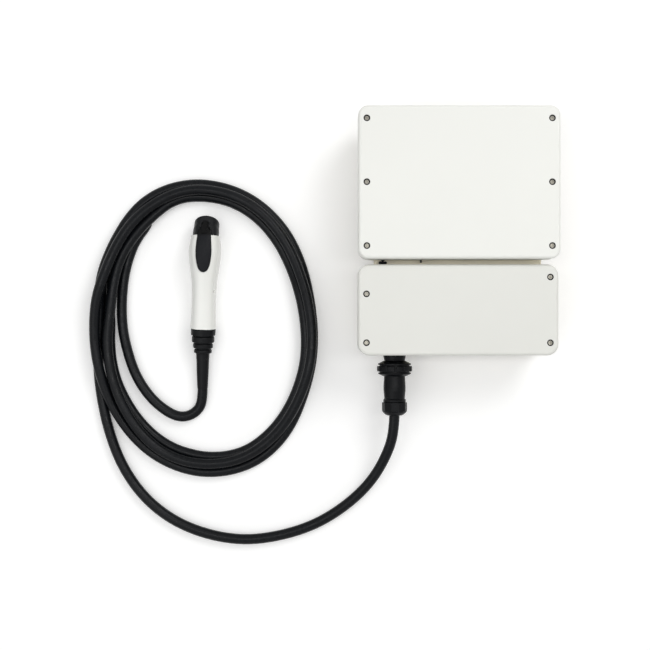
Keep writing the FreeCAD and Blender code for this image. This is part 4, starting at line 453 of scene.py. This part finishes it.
def carried_round(name, line, radii, material, slot, around=40):
    """A round skin carried along a line: point(i, a) = line_i + radius_i * (side_i * cos a + up_i * sin a).

    side_i is level and square to the line, and up_i is square to both.
    """
    heading = np.gradient(line, axis=0)
    heading /= np.linalg.norm(heading, axis=1, keepdims=True)
    side = np.cross(heading, [0.0, 0.0, 1.0])
    side /= np.linalg.norm(side, axis=1, keepdims=True)
    up = np.cross(heading, side)
    angle = np.linspace(0, 2 * np.pi, around, endpoint=False)
    spokes = side[:, None] * np.cos(angle)[None, :, None] + up[:, None] * np.sin(angle)[None, :, None]
    return closed_skin(name, line[:, None] + np.asarray(radii)[:, None, None] * spokes, material, slot)


# Where the sheath starts and ends, measured back from the cable's end inside the handle
SHEATH_START = 0.083
SHEATH_END = 0.142
SHEATH_RINGS = 48
SHEATH_RADIUS = 0.0124
SHEATH_TAPER = 0.0022
SHEATH_LIP = [0.01025, 0.0102, 0.01005]


def cable_sheath():
    """The moulded sheath that the boot ends in, which tapers off along the cable.

    radius(share) = SHEATH_RADIUS - SHEATH_TAPER * share ^ 1.4, with a small lip at its end.
    """
    line, way = centre_line(cable)
    at = np.linspace(way[-1] - SHEATH_START, way[-1] - SHEATH_END, SHEATH_RINGS)
    stretch = np.stack([np.interp(at, way, line[:, axis]) for axis in range(3)], axis=1)
    radii = SHEATH_RADIUS - SHEATH_TAPER * np.linspace(0, 1, SHEATH_RINGS) ** 1.4
    radii[-len(SHEATH_LIP):] = SHEATH_LIP
    return carried_round("cable_sheath", stretch, radii, BOOT_RUBBER, "seal_black")


# The middles of the lid screws, at the height of their heads' undersides
UPPER_SCREWS = [(side * 0.1695, y, 0.1675) for side in (-1, 1) for y in (0.21905, 0.1024, -0.01425)]
LOWER_SCREWS = [(-0.1695, -0.10195, 0.1475), (-0.1695, -0.19205, 0.1475),
                (0.1695, -0.07085, 0.1475), (0.1695, -0.19205, 0.1475)]

# A painted-shade ring's section, from the screw's middle outwards and up, in millimetres
SHADE_RING_SECTION = [(4.95, 0.05), (6.15, 0.05), (6.15, 4.5), (5.95, 4.8),
                  (4.3, 4.7), (3.95, 4.4), (3.95, 4.02), (4.95, 4.02)]
SHADE_RING_AROUND = 48


def screw_shade_rings():
    """Painted shade: dark rubber rings sunk round the heads of the lid screws, as one piece, standing in for
    the shadow in the screws' recesses.

    point(s, a, c) = centre_s + (radius_c * cos a, radius_c * sin a, lift_c), where c goes round the ring's
    section and a goes round the screw. A face joins neighbours in a and in c, and both close on themselves.
    """
    centres = np.array(UPPER_SCREWS + LOWER_SCREWS)
    radius, lift = np.array(SHADE_RING_SECTION).T * MM
    angle = np.linspace(0, 2 * np.pi, SHADE_RING_AROUND, endpoint=False)[:, None]
    ring = np.stack([np.cos(angle) * radius, np.sin(angle) * radius, lift + 0 * angle], axis=-1)
    points = centres[:, None, None] + ring
    number = np.arange(points[..., 0].size).reshape(points.shape[:3])
    after = np.roll(number, -1, axis=1)
    quads = np.stack([number, after, np.roll(after, -1, axis=2), np.roll(number, -1, axis=2)], axis=-1)
    return mesh_piece("screw_shade_rings", points, quads.reshape(-1, 4).tolist(), SEAL_RUBBER, "seal_black")


def middle_of(node):
    """The middle of a CAD node's box."""
    low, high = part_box(node)
    return (low + high) / 2


# The cap's rings from its foot to its front, in millimetres: how far down the unit, half width, half height
CAP_RINGS = [(-40.2, 6.4, 4.6), (-40.8, 7.4, 5.1), (-42.5, 8.0, 5.5), (-44.2, 7.6, 5.2), (-45.0, 6.4, 4.4)]
CAP_AROUND = 48
CAP_SQUARENESS = 2 / 3


def switch_cap():
    """The soft cap over the rocker's front, which rocks with it.

    point(i, a) = (x + half width_i * |cos a| ^ (2/3), y_i, z + half height_i * |sin a| ^ (2/3)), where each
    power keeps the sign of its cosine or sine.
    """
    angle = np.linspace(0, 2 * np.pi, CAP_AROUND, endpoint=False)
    across, rise = (np.sign(v) * np.abs(v) ** CAP_SQUARENESS for v in (np.cos(angle), np.sin(angle)))
    y, half_wide, half_high = (np.array(CAP_RINGS) * MM).T[:, :, None]
    rocker = middle_of("mode_switch")
    rings = np.stack([rocker.x + half_wide * across, y + 0 * angle, rocker.z + half_high * rise], axis=-1)
    return closed_skin("switch_cap", rings, SEAL_RUBBER, "seal_black", body="mode_switch")


# The lens along the unit and its radius there, in millimetres
LENS_RINGS = [(-36.0, 2.0), (-37.0, 2.0), (-41.5, 2.0), (-42.3, 1.7), (-42.7, 1.1)]


def light_lens():
    """The dark lens that carries the status light out past the covers' edge."""
    light = middle_of("status_light")
    y, radii = np.array(LENS_RINGS).T * MM
    line = np.stack([np.full(len(y), light.x), y, np.full(len(y), light.z)], axis=-1)
    return carried_round("light_lens", line, radii, LIGHT_PIPE, "light_pipe")


# The leaf spring: the middle of its heel, half its width, its turn to the right, and its outline from the
# heel forwards and up, in millimetres
LEAF_HEEL = (-0.47940, -0.04811, 0.05752)
LEAF_HALF_WIDE = 0.004
LEAF_TURN = math.radians(1.8)
LEAF_OUTLINE = [(0, 0), (14.5, 0), (14.5, 0.78), (1.5, 0.78), (10.9, 9.18), (10.1, 9.58), (0, 0.88)]


def latch_leaf():
    """The folded leaf spring under the lever's tail, which takes the place of the hidden CAD spring on a mesh
    of its own.

    point(side, k) = heel + along_k * forward + rise_k * upwards + side * half width * across
    """
    forward = np.array([math.sin(LEAF_TURN), math.cos(LEAF_TURN), 0])
    across = np.array([math.cos(LEAF_TURN), -math.sin(LEAF_TURN), 0])
    upwards = np.array([0, 0, 1])
    along, rise = (np.array(LEAF_OUTLINE) * MM).T[:, :, None]
    side = np.array([-LEAF_HALF_WIDE, LEAF_HALF_WIDE])[:, None, None]
    rings = np.array(LEAF_HEEL) + along * forward + rise * upwards + side * across
    piece = closed_skin("latch_leaf", rings, ZINC_PLATE, "steel", smooth=False)
    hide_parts("latch_spring")
    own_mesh(piece)
    return piece


sheath = cable_sheath()
# The screw recesses get dark rings of painted shade.
screw_shade_rings()
switch_cap()
light_lens()
leaf = latch_leaf()

# Half the floor's side, how far it lies under everything, and how far off its fade starts and ends
FLOOR_REACH = 6.0
FLOOR_DROP = 0.0002
FADE_START = 1.3
FADE_END = 3.5

# The glow that is seen on the floor but lights nothing, before its fade and after it
GLOW_NEAR = 0.2
GLOW_FAR = 0.6

# The room's own light, and how bright it looks where it is seen
ROOM_LIGHT = 0.45
ROOM_SEEN = 1.0


def seen_ray(tree):
    """One where a ray comes from the camera, off gloss or through glass, and nought for any other."""
    path = tree.nodes.new("ShaderNodeLightPath")
    seen = path.outputs["Is Camera Ray"]
    for kind in ("Is Glossy Ray", "Is Transmission Ray"):
        either = tree.nodes.new("ShaderNodeMath")
        either.operation = "MAXIMUM"
        tree.links.new(seen, either.inputs[0])
        tree.links.new(path.outputs[kind], either.inputs[1])
        seen = either.outputs[0]
    return seen


def pale_floor():
    """A wide pale sheet just under everything, which fades to white far away."""
    mesh = bpy.data.meshes.new("floor")
    corners = [(-1, -1), (1, -1), (1, 1), (-1, 1)]
    mesh.from_pydata([(x * FLOOR_REACH, y * FLOOR_REACH, 0) for x, y in corners], [], [(0, 1, 2, 3)])
    floor = shown("floor", mesh)
    floor.location = (0, 0, -FLOOR_DROP)
    paint = Paint("floor_white", (0.93, 0.93, 0.925), rough=0.9)
    paint.tint(paint.noise(scale=2.0), (0.925, 0.925, 0.92))
    glow = paint.node("Math", operation="MULTIPLY")
    paint.link(seen_ray(paint.tree), glow.inputs[0])
    paint.link(paint.spread(paint.how_far(), GLOW_NEAR, GLOW_FAR, FADE_START, FADE_END), glow.inputs[1])
    paint.shader.inputs["Emission Color"].default_value = (1, 1, 1, 1)
    paint.link(glow.outputs[0], paint.shader.inputs["Emission Strength"])
    mesh.materials.append(paint.material)


def soft_light(name, place, aim, wide, deep, power):
    """An oblong lamp that faces a point."""
    lamp = bpy.data.lights.new(name, "AREA")
    lamp.shape = "RECTANGLE"
    lamp.size = wide
    lamp.size_y = deep
    lamp.energy = power
    item = shown(name, lamp)
    item.location = place
    item.rotation_euler = (Vector(aim) - Vector(place)).to_track_quat("-Z", "Y").to_euler()


def pale_room():
    """A world that lights the unit evenly from all round and is seen as white."""
    world = bpy.data.worlds.new("studio")
    bpy.context.scene.world = world
    world.use_nodes = True
    tree = world.node_tree
    background = tree.nodes["Background"]
    background.inputs["Color"].default_value = (1, 1, 1, 1)
    brightness = tree.nodes.new("ShaderNodeMath")
    brightness.operation = "MULTIPLY_ADD"
    brightness.inputs[1].default_value = ROOM_SEEN - ROOM_LIGHT
    brightness.inputs[2].default_value = ROOM_LIGHT
    tree.links.new(seen_ray(tree), brightness.inputs[0])
    tree.links.new(brightness.outputs[0], background.inputs["Strength"])


pale_floor()
pale_room()
soft_light("key", place=(1.3, 1.6, 2.6), aim=(-0.25, -0.1, 0), wide=1.4, deep=1.4, power=34)
soft_light("fill", place=(-1.7, -1.0, 2.4), aim=(-0.25, -0.1, 0), wide=2.0, deep=2.0, power=14)
soft_light("strip", place=(-0.1, -0.04, 3.3), aim=(-0.1, -0.04, 0), wide=3.0, deep=0.4, power=24)
bpy.context.scene.view_settings.view_transform = "Standard"
